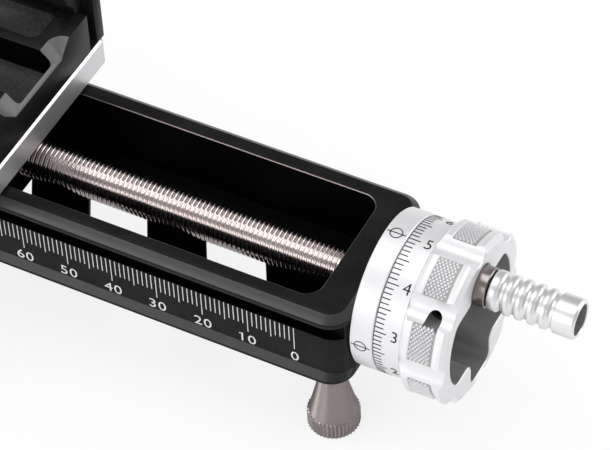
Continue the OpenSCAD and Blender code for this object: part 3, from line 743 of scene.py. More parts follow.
def publish(
    name: str,
    form: Form,
    finishes: Sequence[Finish],
    body: str,
    replaces: Sequence[str] = (),
    sharp: float = 30.0,
) -> None:
    """Puts a finished form in the scene as a piece.

    Args:
        name: The piece's name.
        form: The form, in millimetres.
        finishes: Its finishes, in the order of its faces' material numbers.
        body: The body that it rides on.
        replaces: The nodes that it stands for.
        sharp: Edges sharper than this angle keep a crease, in degrees.
    """
    data = bpy.data.meshes.new(name)
    form.welded().mesh.to_mesh(data)
    form.mesh.free()
    data.transform(Matrix.Scale(MM, 4))
    for finish in finishes:
        data.materials.append(finish.material())
    data.polygons.foreach_set("use_smooth", [True] * len(data.polygons))
    data.set_sharp_from_angle(angle=math.radians(sharp))
    made = placed(name, data)
    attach(made, body)
    if replaces:
        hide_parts(*replaces)
    log.info("%s: %d faces on %s", name, len(data.polygons), body)


def dress(nodes: Iterable[str], finish: Finish) -> None:
    """Gives CAD nodes a finish in place of their plain colour.

    Args:
        nodes: The nodes' names.
        finish: The finish.
    """
    for name in nodes:
        data = frame["nodes"][name].data
        data.materials.clear()
        data.materials.append(finish.material())
        log.info("%s: dressed in %s", name, finish.name)


# ---- Marks ----


def flat_bar(start: Point2, end: Point2, width: float, depth: float) -> Form:
    """Builds a straight mark on the plane: a thin bar from one point to another.

    Args:
        start: Middle of its first end.
        end: Middle of its other end.
        width: Its width.
        depth: Its thickness, half above the plane and half below.

    Returns:
        The bar, lying in X and Y.
    """
    near, far = Vector(start), Vector(end)
    side = (far - near).orthogonal().normalized() * (width / 2)
    corners = [near + side, far + side, far - side, near - side]
    return Form.prism(upright(0.0, 0.0), corners, -depth / 2, depth / 2)


def flat_ring(centre: Point2, radius: float, width: float, depth: float) -> Form:
    """Builds a round mark on the plane, a thin ring.

    Args:
        centre: Its middle.
        radius: The radius to the middle of its line.
        width: The line's width.
        depth: Its thickness, half above the plane and half below.

    Returns:
        The ring, lying in X and Y.
    """
    axis = upright(*centre)
    inner, outer = radius - width / 2, radius + width / 2
    profile = [(-depth / 2, inner), (-depth / 2, outer), (depth / 2, outer), (depth / 2, inner)]
    return Form.turned(axis, profile, 48)


def numeral(text: str, height: float, weight: float, depth: float, spacing: float = 1.0) -> Form:
    """Builds a number on the plane, centred, reading along +X with its top towards +Y.

    Args:
        text: The digits.
        height: Their height.
        weight: How much the strokes are fattened.
        depth: Their thickness, half above the plane and half below.
        spacing: Room between them, 1 for the font's own.

    Returns:
        The digits.
    """
    curve = bpy.data.curves.new("digits", "FONT")
    curve.body = text
    curve.offset = weight
    curve.space_character = spacing
    curve.resolution_u = 6
    curve.extrude = 0.5
    form = Form.taken(placed("digits", curve))
    bmesh.ops.remove_doubles(form.mesh, verts=form.mesh.verts, dist=1e-4)
    xs = [v.co.x for v in form.mesh.verts]
    ys = [v.co.y for v in form.mesh.verts]
    scale = height / (max(ys) - min(ys))
    middle = Vector(((max(xs) + min(xs)) / 2, (max(ys) + min(ys)) / 2, 0.0))
    for vert in form.mesh.verts:
        flat = (vert.co - middle) * scale
        vert.co = Vector((flat.x, flat.y, vert.co.z * depth))
    return form


def flags_of_ones(figures: Form, width: float, depth: float) -> Form:
    """Builds the short flag that leads into each figure one, which the type face leaves plain.

    Args:
        figures: Figures lying in X and Y.
        width: Width of a flag's stroke.
        depth: Thickness of the flags.

    Returns:
        The flags, lying in X and Y like the figures.
    """
    flags = Form()
    seen: set[bmesh.types.BMVert] = set()
    for first in figures.mesh.verts:
        if first in seen:
            continue
        shell = [first]
        seen.add(first)
        for vert in shell:
            for edge in vert.link_edges:
                other = edge.other_vert(vert)
                if other not in seen:
                    seen.add(other)
                    shell.append(other)
        left = min(vert.co.x for vert in shell)
        top = max(vert.co.y for vert in shell)
        if max(vert.co.x for vert in shell) - left < 2.0 * width:
            end = (left - 2.0 * width, top - 1.9 * width)
            flags.with_shells(flat_bar((left + width / 2, top - width / 2), end, width, depth))
    return flags


def on_cylinder(form: Form, axis: Axis, radius: float, station: float, degrees: float) -> Form:
    """Bends a flat mark round a cylinder.

    Args:
        form: The mark, with X along the axis and Y round it.
        axis: The cylinder's axis.
        radius: The cylinder's radius.
        station: Where the mark's own origin goes along the axis.
        degrees: The angle where it goes.

    Returns:
        The same form.
    """
    mesh = form.mesh
    bmesh.ops.triangulate(mesh, faces=mesh.faces)
    reach = max(abs(vert.co.y) for vert in mesh.verts)
    strip = 0.3
    for i in range(-int(reach / strip), int(reach / strip) + 1):
        parts = [*mesh.verts, *mesh.edges, *mesh.faces]
        place, across = (0.0, strip * i, 0.0), (0.0, 1.0, 0.0)
        bmesh.ops.bisect_plane(mesh, geom=parts, plane_co=place, plane_no=across)
    return form.warped(
        lambda p: axis.polar(station + p.x, radius + p.z, degrees + math.degrees(p.y / radius))
    )


# ---- Rail ----

BEARING_BORE = 6.5
LIP_BORE = 4.6
# The feet's studs under the rail's corners, and the threads that they go into.
FOOT_PLACES = ((-95.0, -14.0), (-95.0, 14.0), (95.0, -14.0), (95.0, 14.0))
FOOT_STUD = 2.0
FOOT_STUD_LENGTH = 7.0


@dataclass
class RailBar:
    """The milled rail with its window, side grooves and leaning floor openings."""

    length: float = 200.0
    foot_width: float = 38.0
    core_width: float = 35.0
    flange_width: float = 37.0
    height: float = 18.0
    corner: float = 5.0
    ease: float = 0.15
    edge: float = 0.1
    foot_edge: float = 0.65
    foot_top: float = 2.0
    # How far the foot's slope may turn towards the rail's end and still count as its side.
    foot_turn: float = 0.55
    flange_low: float = 15.5
    flange_top: float = 16.7
    bevel: float = 1.6
    groove_y: float = 15.65
    groove_low: float = 11.5
    groove_lip: float = 0.22
    lip_inset: float = 0.1
    window_length: float = 184.0
    window_width: float = 28.0
    window_corner: float = 3.5
    floor: float = 4.0
    edge_line: float = 0.15
    slot_width: float = 13.35
    slot_pitch: float = 26.7
    slot_span: float = 20.0
    slot_lean: float = 30.0
    slot_count: int = 6
    # Place and radius of the 3/8 inch and the 1/4 inch tripod thread.
    tripod_threads: tuple[Point2, ...] = ((0.0, 4.7625), (-26.7, 3.175))
    countersink: float = 1.5
    front_bore: tuple[Step, ...] = ((91.0, 93.0, LIP_BORE), (93.0, 101.0, BEARING_BORE))
    rear_bore: tuple[Step, ...] = (
        (-91.0, -93.0, LIP_BORE), (-93.0, -98.0, BEARING_BORE), (-98.0, -101.0, 7.5),
    )

    def _bar(self) -> Form:
        """Builds the bar: dovetail foot, upright core and bevelled flange.

        Returns:
            The bar.
        """
        long, corner, ease, bevel = self.length, self.corner, self.ease, self.bevel
        foot, core, flange = self.foot_width, self.core_width, self.flange_width
        return Form.block(
            upright(0.0, 0.0),
            [
                (0.0, long - 2 * ease, foot - 2 * ease, corner - ease),
                (ease, long, foot, corner),
                (self.foot_edge, long, foot, corner),
                (self.foot_top, long, core, corner),
                (self.flange_low, long, core, corner),
                # The flange's underside climbs a little, since a skin can't turn on the spot.
                (self.flange_low + SKIN / 2, long, flange, corner),
                (self.flange_top, long, flange, corner),
                (self.height, long - 2 * bevel, flange - 2 * bevel, corner - bevel),
            ],
        )

    def _grooves(self) -> list[Form]:
        """Builds the cutters of the two side grooves, with an eased lower lip.

        Returns:
            The cutters.
        """
        lip, past = self.core_width / 2 - self.lip_inset, self.core_width / 2 + 4 * PAST
        low, high = self.groove_low + self.groove_lip, self.flange_low + SKIN
        reach = self.length / 2 + 2 * PAST
        section = [
            (self.groove_y, self.groove_low), (lip, self.groove_low), (lip + self.groove_lip, low),
            (past, low), (past, high), (self.groove_y, high),
        ]
        made = []
        for side in SIDES:
            outline = [(side * y, z) for y, z in section]
            made.append(Form.prism(RAIL_SECTION, outline, -reach, reach).marked(1))
        return made

    def _window(self) -> Form:
        """Builds the window's cutter, with a narrow chamfer round its mouth.

        Returns:
            The cutter.
        """
        line, mouth = self.edge_line, self.height - self.edge_line
        long, wide, corner = self.window_length, self.window_width, self.window_corner
        levels = [
            (z, long + 2 * grow, wide + 2 * grow, corner + grow)
            for z, grow in ((self.floor, 0.0), (mouth, 0.0), (self.height + line, 2 * line))
        ]
        cutter = Form.block(upright(0.0, 0.0), levels).marked(1)
        return cutter.marked(2, lambda c, n: c.z > mouth and abs(n.z) < LEVEL)

    def _slots(self) -> list[Form]:
        """Builds the cutters of the leaning floor openings.

        Returns:
            The cutters.
        """
        half, reach = self.slot_width / 2, self.slot_span / 2
        lean = reach * math.tan(math.radians(self.slot_lean))
        outline = [(x + lean, -reach) for x in (-half, half)]
        outline += [(x - lean, reach) for x in (half, -half)]
        made = []
        for i in range(self.slot_count):
            axis = upright((i - (self.slot_count - 1) / 2) * self.slot_pitch, 0.0)
            made.append(Form.prism(axis, outline, -PAST, self.floor + PAST / 2).marked(1))
        return made

    def _threads(self) -> list[Form]:
        """Builds the cutters of the tripod threads, with a countersink at each mouth.

        Returns:
            The cutters.
        """
        made, wide, top = [], self.countersink, self.floor + PAST
        for x, radius in self.tripod_threads:
            profile = [(-PAST, 0.0), (-PAST, radius + wide), (wide - PAST, radius)]
            profile += [(top, radius), (top, 0.0)]
            made.append(Form.turned(upright(x, 0.0), profile, segments=64).marked(2))
        return made

    def _bores(self) -> list[Form]:
        """Builds the cutters of the bearing bores and the feet's threads.

        Returns:
            The cutters.
        """
        made = [
            Form.rod(SCREW_AXIS, *steps, segments=96) for steps in (self.front_bore, self.rear_bore)
        ]
        step = (-PAST, FOOT_STUD_LENGTH, FOOT_STUD)
        made += [Form.rod(upright(x, y), step, segments=32) for x, y in FOOT_PLACES]
        return [cutter.marked(1) for cutter in made]

    def _over_window(self, point: Vector, margin: float) -> bool:
        """Says whether a point lies in the window's outline, grown by a margin."""
        across, along = self.window_width / 2 + margin, self.window_length / 2 + margin
        return abs(point.y) < across and abs(point.x) < along

    def _in_window(self, centre: Vector, normal: Vector) -> bool:
        """Says whether a face is on the window's sides."""
        deep = self.floor < centre.z < self.height - self.edge_line
        return deep and self._over_window(centre, SKIN)

    def _on_bevel(self, centre: Vector, normal: Vector) -> bool:
        """Says whether a face is on the bevel round the rail's top."""
        high = self.flange_top + SKIN < centre.z < self.height - SKIN
        return high and leans(normal) and not self._over_window(centre, PAST)

    def _on_foot(self, centre: Vector, normal: Vector) -> bool:
        """Says whether a face is on the slope of the rail's foot, away from its ends."""
        beside = leans(normal) and abs(normal.y) > self.foot_turn * abs(normal.z)
        return beside and self.foot_edge + self.ease < centre.z < self.foot_top - self.ease

    def build(self) -> None:
        """Builds the rail and publishes it."""
        tools = [*self._grooves(), self._window(), *self._slots(), *self._threads(), *self._bores()]
        bar = self._bar().cut(*tools).eased(self.edge)
        # Slot 1 paints near-black shade into the window, grooves, openings and bores.
        bar.marked(1, self._in_window).marked(3, self._on_bevel).marked(4, self._on_foot)
        finishes = [BLACK_ANODISED, BLACK_PAINTED_SHADE, BARE_EDGE, BLACK_CHAMFER, BLACK_STEP]
        publish("rail_bar", bar, finishes, "rail", ["rail_body"], sharp=28.0)


@dataclass
class RailScale:
    """The white millimetre scale on the rail's side, numbered every ten."""

    side_y: float = -17.5
    zero_x: float = 89.0
    last_mark: int = 180
    top: float = 11.42
    tick_width: float = 0.17
    one_tick: float = 4.0
    five_tick: float = 4.9
    ten_tick: float = 6.0
    digit_height: float = 2.35
    digit_stretch: float = 1.14
    digit_spacing: float = 1.1
    digit_z: float = 3.32
    flag_width: float = 0.2
    ink: float = 0.07

    def build(self) -> None:
        """Builds the lines and the numbers."""
        face = crosswise(0.0, self.side_y, 0.0, -1.0)
        lines, numbers = Form(), Form()
        for mark in range(self.last_mark + 1):
            x = self.zero_x - mark
            tick = self.five_tick if mark % 5 == 0 else self.one_tick
            if mark % 10 == 0:
                tick = self.ten_tick
                numbers.with_shells(self._number(mark, x))
            lines.with_shells(
                flat_bar((x, self.top), (x, self.top - tick), self.tick_width, self.ink)
            )
        for name, form in (("rail_scale_lines", lines), ("rail_scale_numbers", numbers)):
            form.warped(lambda p: face.at(p.z, p.x, p.y))
            publish(name, form, [WHITE_FILL], "rail")

    def _number(self, mark: int, x: float) -> Form:
        """Builds one number of the scale.

        Args:
            mark: The number.
            x: The place of its line.

        Returns:
            Its figures, lying in X and Y.
        """
        digits = numeral(str(mark), self.digit_height, 0.0, self.ink, self.digit_spacing)
        digits.with_shells(flags_of_ones(digits, self.flag_width, self.ink))
        for vert in digits.mesh.verts:
            flat = vert.co
            vert.co = Vector((x + self.digit_stretch * flat.x, self.digit_z + flat.y, flat.z))
        return digits


@dataclass
class IndexCollar:
    """The fixed collar between rail and dial, with an index mark every quarter."""

    near: float = 100.0
    far: float = 104.65
    radius: float = 15.85
    ease: float = 0.18
    lip_at: float = 103.0
    mark_at: float = 2.25
    mark_radius: float = 1.2
    line: float = 0.19
    line_span: Point2 = (0.35, 4.25)

    def build(self) -> None:
        """Builds the collar and its marks."""
        near, far, r, ease, lip = self.near, self.far, self.radius, self.ease, self.lip_at
        profile = [
            (near, BEARING_BORE), (near, r - ease), (near + ease, r), (far - ease, r),
            (far, r - ease), (far, LIP_BORE), (lip, LIP_BORE), (lip, BEARING_BORE),
        ]
        ring = Form.turned(SCREW_AXIS, profile, segments=192)
        publish("index_ring", ring, [SILVER_ANODISED], "rail", ["index_collar"])
        marks = Form()
        start, end = ((at, 0.0) for at in self.line_span)
        for quarter in range(4):
            circle = flat_ring((self.mark_at, 0.0), self.mark_radius, self.line, INK)
            for flat in (circle, flat_bar(start, end, self.line, INK)):
                marks.with_shells(on_cylinder(flat, SCREW_AXIS, r, near, 90.0 * quarter))
        publish("index_marks", marks, [DARK_FILL], "rail")


@dataclass
class ScrewInFoot:
    """A conical foot with a knurled rim, one under each corner of the rail."""

    height: float = 16.4
    rim_height: float = 4.1
    rim_radius: float = 5.25
    tooth_depth: float = 0.32
    teeth: int = 40
    neck_radius: float = 2.2
    neck_length: float = 0.9
    ease: float = 0.3
    rim_step: float = 0.1
    sole_ease: float = 0.35
    sole_inset: float = 0.15
    cone_steps: int = 8
    # Above 1, the cone widens faster towards its rim.
    flare: float = 1.05

    def _foot(self, x: float, y: float) -> Form:
        """Builds the foot that stands at a place.

        Args:
            x: Its place along the rail.
            y: Its place across the rail.

        Returns:
            The foot.
        """
        crest, root = self.rim_radius, self.rim_radius - self.tooth_depth
        neck, low, ease = self.neck_radius, -self.neck_length, self.ease
        rim_top = self.rim_height - self.height
        skin = [
            (FOOT_STUD_LENGTH, FOOT_STUD - ease), (FOOT_STUD_LENGTH - ease, FOOT_STUD),
            (0.0, FOOT_STUD), (0.0, neck), (low, neck),
        ]
        for i in range(1, self.cone_steps + 1):
            part = i / self.cone_steps
            radius = neck + (root - self.rim_step - neck) * part**self.flare
            skin.append((low + (rim_top - low) * part, radius))
        teeth = (root, (root + crest) / 2, crest, (root + crest) / 2)
        skin += [
            (rim_top - ease, *teeth), (self.sole_ease - self.height, *teeth),
            (-self.height, root - self.sole_inset),
        ]
        points = len(teeth) * self.teeth
        levels = [(z, circle_outline(points, *radii)) for z, *radii in skin]
        return Form.stack(upright(x, y), levels)

    def build(self) -> None:
        """Builds all the feet as one piece."""
        feet = Form().with_shells(*(self._foot(x, y) for x, y in FOOT_PLACES))
        publish("screw_in_feet", feet, [FOOT_STEEL], "rail", ["feet"], sharp=24.0)


# ---- Screw, dial and knob ----


@dataclass
class LeadScrew:
    """The lead screw with its real thread, and its journals."""

    reach: float = 91.7
    radius: float = 4.0
    pitch: float = 1.0
    depth: float = 0.6
    sides: int = 56
    # The thread's form: parts of the pitch, and parts of its depth.
    thread_form: tuple[Point2, ...] = (
        (0.0, 0.0), (0.09, 0.02), (0.2, 0.28), (0.34, 0.78), (0.46, 1.0),
        (0.54, 1.0), (0.66, 0.78), (0.8, 0.28), (0.91, 0.02),
    )
    shoulder: float = 3.8
    shoulder_end: float = 93.0
    journal: float = 3.0
    rear_end: float = -97.8
    rear_ease: float = 0.3
    front_end: float = 107.6
    front_ease: float = 0.2

    def _thread(self) -> Form:
        """Builds the threaded length as one helical skin.

        Returns:
            The skin.
        """
        samples = len(self.thread_form)
        turns = int(2 * self.reach / self.pitch) + 2
        mesh = bmesh.new()
        rows = []
        for i in range(turns * samples):
            part, drop = self.thread_form[i % samples]
            start = -self.reach - self.pitch + self.pitch * (i // samples + part)
            row = []
            for j in range(self.sides):
                # The station falls as the angle grows, which makes the thread right-handed.
                station = start + self.pitch * (1.0 - j / self.sides)
                station = max(-self.reach, min(self.reach, station))
                degrees = 360.0 * j / self.sides
                point = SCREW_AXIS.polar(station, self.radius - self.depth * drop, degrees)
                row.append(mesh.verts.new(point))
            rows.append(row)
        for low, high in zip(rows, rows[1:]):
            for j in range(self.sides - 1):
                mesh.faces.new((low[j], high[j], high[j + 1], low[j + 1]))
        # One turn on, the end of each row meets the start of the one a pitch further.
        for i in range(samples, len(rows) - 1):
            first, second = rows[i - samples : i - samples + 2]
            mesh.faces.new((first[0], second[0], rows[i + 1][-1], rows[i][-1]))
        return Form(mesh).welded().settled()

    def build(self) -> None:
        """Builds the screw and publishes it."""
        core = self.radius - self.depth - SKIN
        journal, shoulder, reach, ends = self.journal, self.shoulder, self.reach, self.shoulder_end
        rear, rear_ease = self.rear_end, self.rear_ease
        front, ease = self.front_end, self.front_ease
        profile = [
            (rear, 0.0), (rear, journal - rear_ease), (rear + rear_ease, journal), (-ends, journal),
            (-ends, shoulder), (-reach, shoulder), (-reach, core), (reach, core), (reach, shoulder),
            (ends, shoulder), (ends, journal), (front - ease, journal), (front, journal - ease),
            (front, 0.0),
        ]
        shaft = Form.turned(SCREW_AXIS, profile, segments=64)
        thread = self._thread()
        publish("screw_thread", thread, [SCREW_STEEL], "drive", sharp=80.0)
        publish("screw_shaft", shaft, [PIN_STEEL], "drive", ["lead_screw"])


@dataclass
class DialRing:
    """The dial with a hundred divisions, numbered every ten."""

    near: float = 104.8
    far: float = 110.2
    radius: float = 15.7
    hub: float = 13.0
    near_ease: float = 0.22
    far_ease: float = 0.05
    divisions: int = 100
    zero_degrees: float = -90.0
    line: float = 0.2
    line_from: float = 0.12
    one_line: float = 1.65
    five_line: float = 2.35
    digit_height: float = 2.3
    digit_weight: float = -0.008
    digit_at: float = 4.17

    def build(self) -> None:
        """Builds the ring, its lines and its numbers."""
        near, far, r = self.near, self.far, self.radius
        profile = [
            (near, self.hub), (near, r - self.near_ease), (near + self.near_ease, r),
            (far - self.far_ease, r), (far, r - self.far_ease), (far, self.hub),
        ]
        ring = Form.turned(SCREW_AXIS, profile, segments=192)
        publish("dial_body", ring, [SILVER_ANODISED], "drive", ["dial_ring"])
        lines, numbers = Form(), Form()
        for step in range(self.divisions):
            degrees = self.zero_degrees + 360.0 / self.divisions * step
            end = self.line_from + (self.five_line if step % 5 == 0 else self.one_line)
            flat = flat_bar((self.line_from, 0.0), (end, 0.0), self.line, INK)
            lines.with_shells(on_cylinder(flat, SCREW_AXIS, r, near, degrees))
            if step % 10 == 0:
                digit = numeral(str(step // 10), self.digit_height, self.digit_weight, INK)
                at = near + self.digit_at
                numbers.with_shells(on_cylinder(digit, SCREW_AXIS, r, at, degrees))
        for name, form in (("dial_lines", lines), ("dial_numbers", numbers)):
            publish(name, form, [DARK_FILL], "drive")


@dataclass
class CrankKnob:
    """The lobed knob with its knurled fields, its pocket and the pin's slanting hole."""

    hub_near: float = 104.8
    rear: float = 110.2
    face: float = 119.8
    radius: float = 17.4
    rear_radius: float = 15.6
    face_radius: float = 16.15
    face_edge: float = 16.35
    face_ease: float = 0.12
    hub: float = 13.0
    groove_near: float = 112.7
    field_near: float = 112.75
    field_far: float = 117.4
    field_radius: float = 16.95
    # The plain bands beside the knurled field: stations, and depths below the knob's radius.
    rear_band: tuple[Point2, ...] = ((111.35, 0.1), (111.5, 0.0), (112.45, 0.0), (112.6, 0.12))
    front_band: tuple[Point2, ...] = ((118.2, 0.08), (118.35, 0.0), (119.05, 0.0), (119.25, 0.12))
    lobes: int = 8
    scallop_radius: float = 3.1
    scallop_at: float = 18.5
    # The scallops' cutters end this far past the knob, and leave the dial behind it alone.
    scallop_past: float = 0.001
    pocket_floor: float = 111.5
    recess_radius: float = 13.4
    recess_half: float = 8.4
    recess_corner: float = 2.5
    recess_span: float = 0.7
    junction_corner: float = 2.0
    upper_share: float = 0.6
    side_steps: int = 20
    nose_steps: int = 18
    slot_corner: float = 1.7
    slot_half: float = 4.15
    slot_low: float = -15.0
    mouth_chamfer: float = 0.22
    pin_hole: tuple[Step, ...] = ((-7.35, 7.35, 1.25), (7.35, 18.0, 1.5))
    screw_seat: Step = (109.6, 112.5, 2.75)
    plunger_bore: Step = (107.1, 112.5, 1.5)
    knurl_pitch: float = 0.78
    knurl_degrees: float = 3.45
    knurl_margin: float = 0.1
    knurl_rows: int = 7
    knurl_columns: int = 6
    # The diamonds' feet below the field, their tops below the lobes, and their shares of a pitch.
    knurl_foot: Point2 = (0.05, 0.92)
    knurl_top: Point2 = (0.12, 0.42)

    def _body(self) -> Form:
        """Builds the knob's turned blank, with the groove that the knurled fields lie in.

        Returns:
            The blank.
        """
        rear, face = self.rear, self.face
        profile = [
            (self.hub_near, 0.0), (self.hub_near, self.hub), (rear, self.hub),
            (rear, self.rear_radius), *((x, self.radius - drop) for x, drop in self.rear_band),
            (self.groove_near, self.field_radius), (self.field_far, self.field_radius),
            *((x, self.radius - drop) for x, drop in self.front_band),
            (face - self.face_ease, self.face_edge), (face, self.face_radius), (face, 0.0),
        ]
        return Form.turned(SCREW_AXIS, profile, segments=256)

    def _scallops(self) -> list[Form]:
        """Builds the cutters of the scallops between the lobes.

        Returns:
            The cutters.
        """
        line = self.mouth_chamfer
        narrow, wide = (circle_outline(64, self.scallop_radius + grow) for grow in (0.0, 2 * line))
        rear = self.rear - self.scallop_past
        levels = [(rear, narrow), (self.face - line, narrow), (self.face + line, wide)]
        made = []
        for i in range(self.lobes):
            centre = SCREW_AXIS.polar(0.0, self.scallop_at, 360.0 * i / self.lobes)
            made.append(Form.stack(SCREW_AXIS.through(centre), levels))
        return made

    def _pocket_outline(self, grow: float) -> list[Point2]:
        """Outlines the pocket: a finger recess crossed by the slot that the crank folds into.

        Args:
            grow: How far the outline lies outside the pocket's own.

        Returns:
            The outline's points.
        """
        reach, flat = self.recess_radius + grow, self.recess_half + grow
        half, low = self.slot_half + grow, self.slot_low - grow
        corner_x = math.sqrt(reach**2 - flat**2)
        span = self.recess_span * math.asin(flat / reach)
        turns = [span * (2 * i / self.side_steps - 1.0) for i in range(self.side_steps + 1)]
        outer, inner = self.recess_corner + grow, self.junction_corner - grow
        upper, end = self.upper_share * inner, self.slot_corner + grow
        side = [(reach * math.cos(turn), reach * math.sin(turn), 0.0) for turn in turns]
        nose = [math.pi * i / self.nose_steps for i in range(self.nose_steps + 1)]
        return filleted([
            (corner_x, -flat, outer), *side, (corner_x, flat, outer), (half, flat, upper),
            *((half * math.cos(a), CRANK_THROW + half * math.sin(a), 0.0) for a in nose),
            (-half, flat, upper), (-corner_x, flat, outer), *((-x, -y, 0.0) for x, y, _ in side),
            (-corner_x, -flat, outer), (-half, -flat, inner), (-half, low, end), (half, low, end),
            (half, -flat, inner),
        ])

    def _pocket(self) -> Form:
        """Builds the pocket's cutter, with a chamfer at the knob's face.

        Returns:
            The cutter.
        """
        line, mouth = self.mouth_chamfer, self.face - self.mouth_chamfer
        straight, wide = (self._pocket_outline(grow) for grow in (0.0, 2 * line))
        levels = [(self.pocket_floor, straight), (mouth, straight), (self.face + line, wide)]
        # The pocket's faces take slot 1, grey painted shade; its chamfer keeps slot 0.
        cutter = Form.stack(SCREW_AXIS, levels).marked(1)
        return cutter.marked(0, lambda c, n: c.x > mouth and abs(n.x) < LEVEL)

    def _holes(self) -> list[Form]:
        """Builds the cutters of the pin's hole, the centre screw's seat and the plunger's bore.

        Returns:
            The cutters.
        """
        hole = Form.rod(CRANK_PIN_AXIS, *self.pin_hole)
        seat = Form.rod(SCREW_AXIS, self.screw_seat)
        plunger = Form.rod(CRANK_AXIS, self.plunger_bore, segments=32)
        # The holes take slot 1, grey painted shade.
        return [cutter.marked(1) for cutter in (hole, seat, plunger)]

    def _knurl(self) -> Form:
        """Builds the diamond knurl of every lobe as rows of flat-topped pyramids.

        Returns:
            The pyramids.
        """
        field = Form()
        for lobe in range(self.lobes):
            middle = 360.0 * (lobe + 0.5) / self.lobes
            for row in range(-self.knurl_rows, self.knurl_rows + 1):
                degrees = middle + row * self.knurl_degrees / 2
                odd = row % 2
                for column in range(self.knurl_columns - odd):
                    along = self.knurl_margin + self.knurl_pitch * (column + 0.5 * odd)
                    field.with_shells(self._diamond(self.field_near + along, degrees))
        return field

    def _diamond(self, x: float, degrees: float) -> Form:
        """Builds one pyramid of the knurl with a small flat top.

        Args:
            x: Its station.
            degrees: Its angle.

        Returns:
            The pyramid.
        """
        rings = []
        ends = ((self.field_radius, self.knurl_foot), (self.radius, self.knurl_top))
        for radius, (drop, part) in ends:
            a, b = self.knurl_pitch / 2 * part, self.knurl_degrees / 2 * part
            corners = ((x + a, degrees), (x, degrees + b), (x - a, degrees), (x, degrees - b))
            rings.append([SCREW_AXIS.polar(at, radius - drop, turn) for at, turn in corners])
        return Form.loft(rings)

    def build(self) -> None:
        """Builds the knob and publishes it."""
        body = self._body().cut(*self._scallops(), self._pocket(), *self._holes())
        low, high, out = self.field_near - SKIN, self.field_far + SKIN, self.field_radius - 3 * SKIN
        # Slot 2 greys the field's floor as painted shade between the diamonds.
        body.marked(2, lambda c, n: low < c.x < high and SCREW_AXIS.distance(c) > out)
        finishes = [SILVER_ANODISED, SILVER_PAINTED_SHADE, SILVER_GROOVE_PAINTED_SHADE]
        publish("knob_blank", body, finishes, "drive", ["knob_body"], sharp=26.0)
        knurl = self._knurl()
        publish("knob_knurl", knurl, [SILVER_ANODISED], "drive", sharp=10.0)


# ---- Crank ----


@dataclass
class FoldingCrank:
    """The crank: a bronze knuckle that folds, and a beaded grip that spins on its stud."""

    radius: float = 4.0
    knuckle_end: float = 122.05
    knuckle_ease: float = 0.2
    dome_steps: int = 12
    grip_near: float = 122.4
    grip_far: float = 140.0
    # The grip's eased ends: stations from each end, and depths below its radius.
    near_ease: tuple[Point2, ...] = ((0.0, 0.35), (0.15, 0.08), (0.35, 0.0))
    far_ease: tuple[Point2, ...] = ((-0.45, 0.0), (-0.1, 0.3), (0.0, 0.45))
    first_groove: float = 124.9
    groove_pitch: float = 2.5
    grooves: int = 5
    groove_depth: float = 0.62
    groove_half: float = 0.8
    groove_steps: int = 12
    land_ease: float = 0.14
    land_drop: float = 0.05
    # The hollow's mouth: stations from the far end, and how much wider it is there.
    mouth_ease: tuple[Point2, ...] = ((0.0, 0.12), (-0.15, 0.0))
    hollow: float = 3.1
    hollow_from: float = 135.0
    stud: float = 1.6
    stud_play: float = 0.04
    pin_bore: Step = (-6.0, 6.0, 1.29)
    stud_seat: Point2 = (119.2, 124.0)

    def _knuckle(self) -> Form:
        """Builds the knuckle, domed about the pin, with the pin's bore and the stud's seat.

        Returns:
            The knuckle.
        """
        r, end, ease = self.radius, self.knuckle_end, self.knuckle_ease
        profile = [(CRANK_PIN_X - r, 0.0)]
        for i in range(1, self.dome_steps + 1):
            turn = math.radians(90.0 * i / self.dome_steps)
            profile.append((CRANK_PIN_X - r * math.cos(turn), r * math.sin(turn)))
        profile += [(end - ease, r), (end, r - ease), (end, 0.0)]
        bore = Form.rod(CRANK_PIN_AXIS, self.pin_bore)
        seat = Form.rod(CRANK_AXIS, (*self.stud_seat, self.stud))
        return Form.turned(CRANK_AXIS, profile).cut(bore, seat)

    def _grip(self) -> Form:
        """Builds the grip with its round grooves and its hollow end.

        Returns:
            The grip.
        """
        near, far, r, half = self.grip_near, self.grip_far, self.radius, self.groove_half
        bore = self.stud + self.stud_play
        outside = [(near + x, r - drop) for x, drop in self.near_ease]
        curve = (half**2 + self.groove_depth**2) / (2 * self.groove_depth)
        for i in range(self.grooves):
            middle = self.first_groove + i * self.groove_pitch
            land = (half + self.land_ease, 0.0), (half, self.land_drop)
            outside += [(middle - x, r - drop) for x, drop in land]
            for k in range(1, self.groove_steps):
                # A round groove: deepest in the middle, on a circle that meets the lands.
                offset = half * (2 * k / self.groove_steps - 1.0)
                drop = math.sqrt(curve**2 - offset**2) - (curve - self.groove_depth)
                outside.append((middle + offset, r - max(drop, self.land_drop)))
            outside += [(middle + x, r - drop) for x, drop in reversed(land)]
        outside += [(far + x, r - drop) for x, drop in self.far_ease]
        inside = [
            *((far + x, self.hollow + rise) for x, rise in self.mouth_ease),
            (self.hollow_from, self.hollow), (self.hollow_from, bore), (near, bore),
        ]
        open_end, side = self.hollow_from - SKIN, self.hollow + SKIN
        grip = Form.turned(CRANK_AXIS, outside + inside)
        # The hollow's inside takes slot 1, grey painted shade.
        return grip.marked(1, lambda c, n: c.x > open_end and CRANK_AXIS.distance(c) < side)

    def build(self) -> None:
        """Builds the knuckle and the grip and publishes them."""
        publish("crank_hinge", self._knuckle(), [KNUCKLE_BRONZE], "crank", ["crank_knuckle"])
        finishes = [SILVER_GRIP, SILVER_PAINTED_SHADE]
        publish("crank_handle", self._grip(), finishes, "grip", ["crank_grip"], sharp=24.0)


# ---- Carriage ----

CARRIAGE_X = -5.0
CARRIAGE_TOP = 25.5


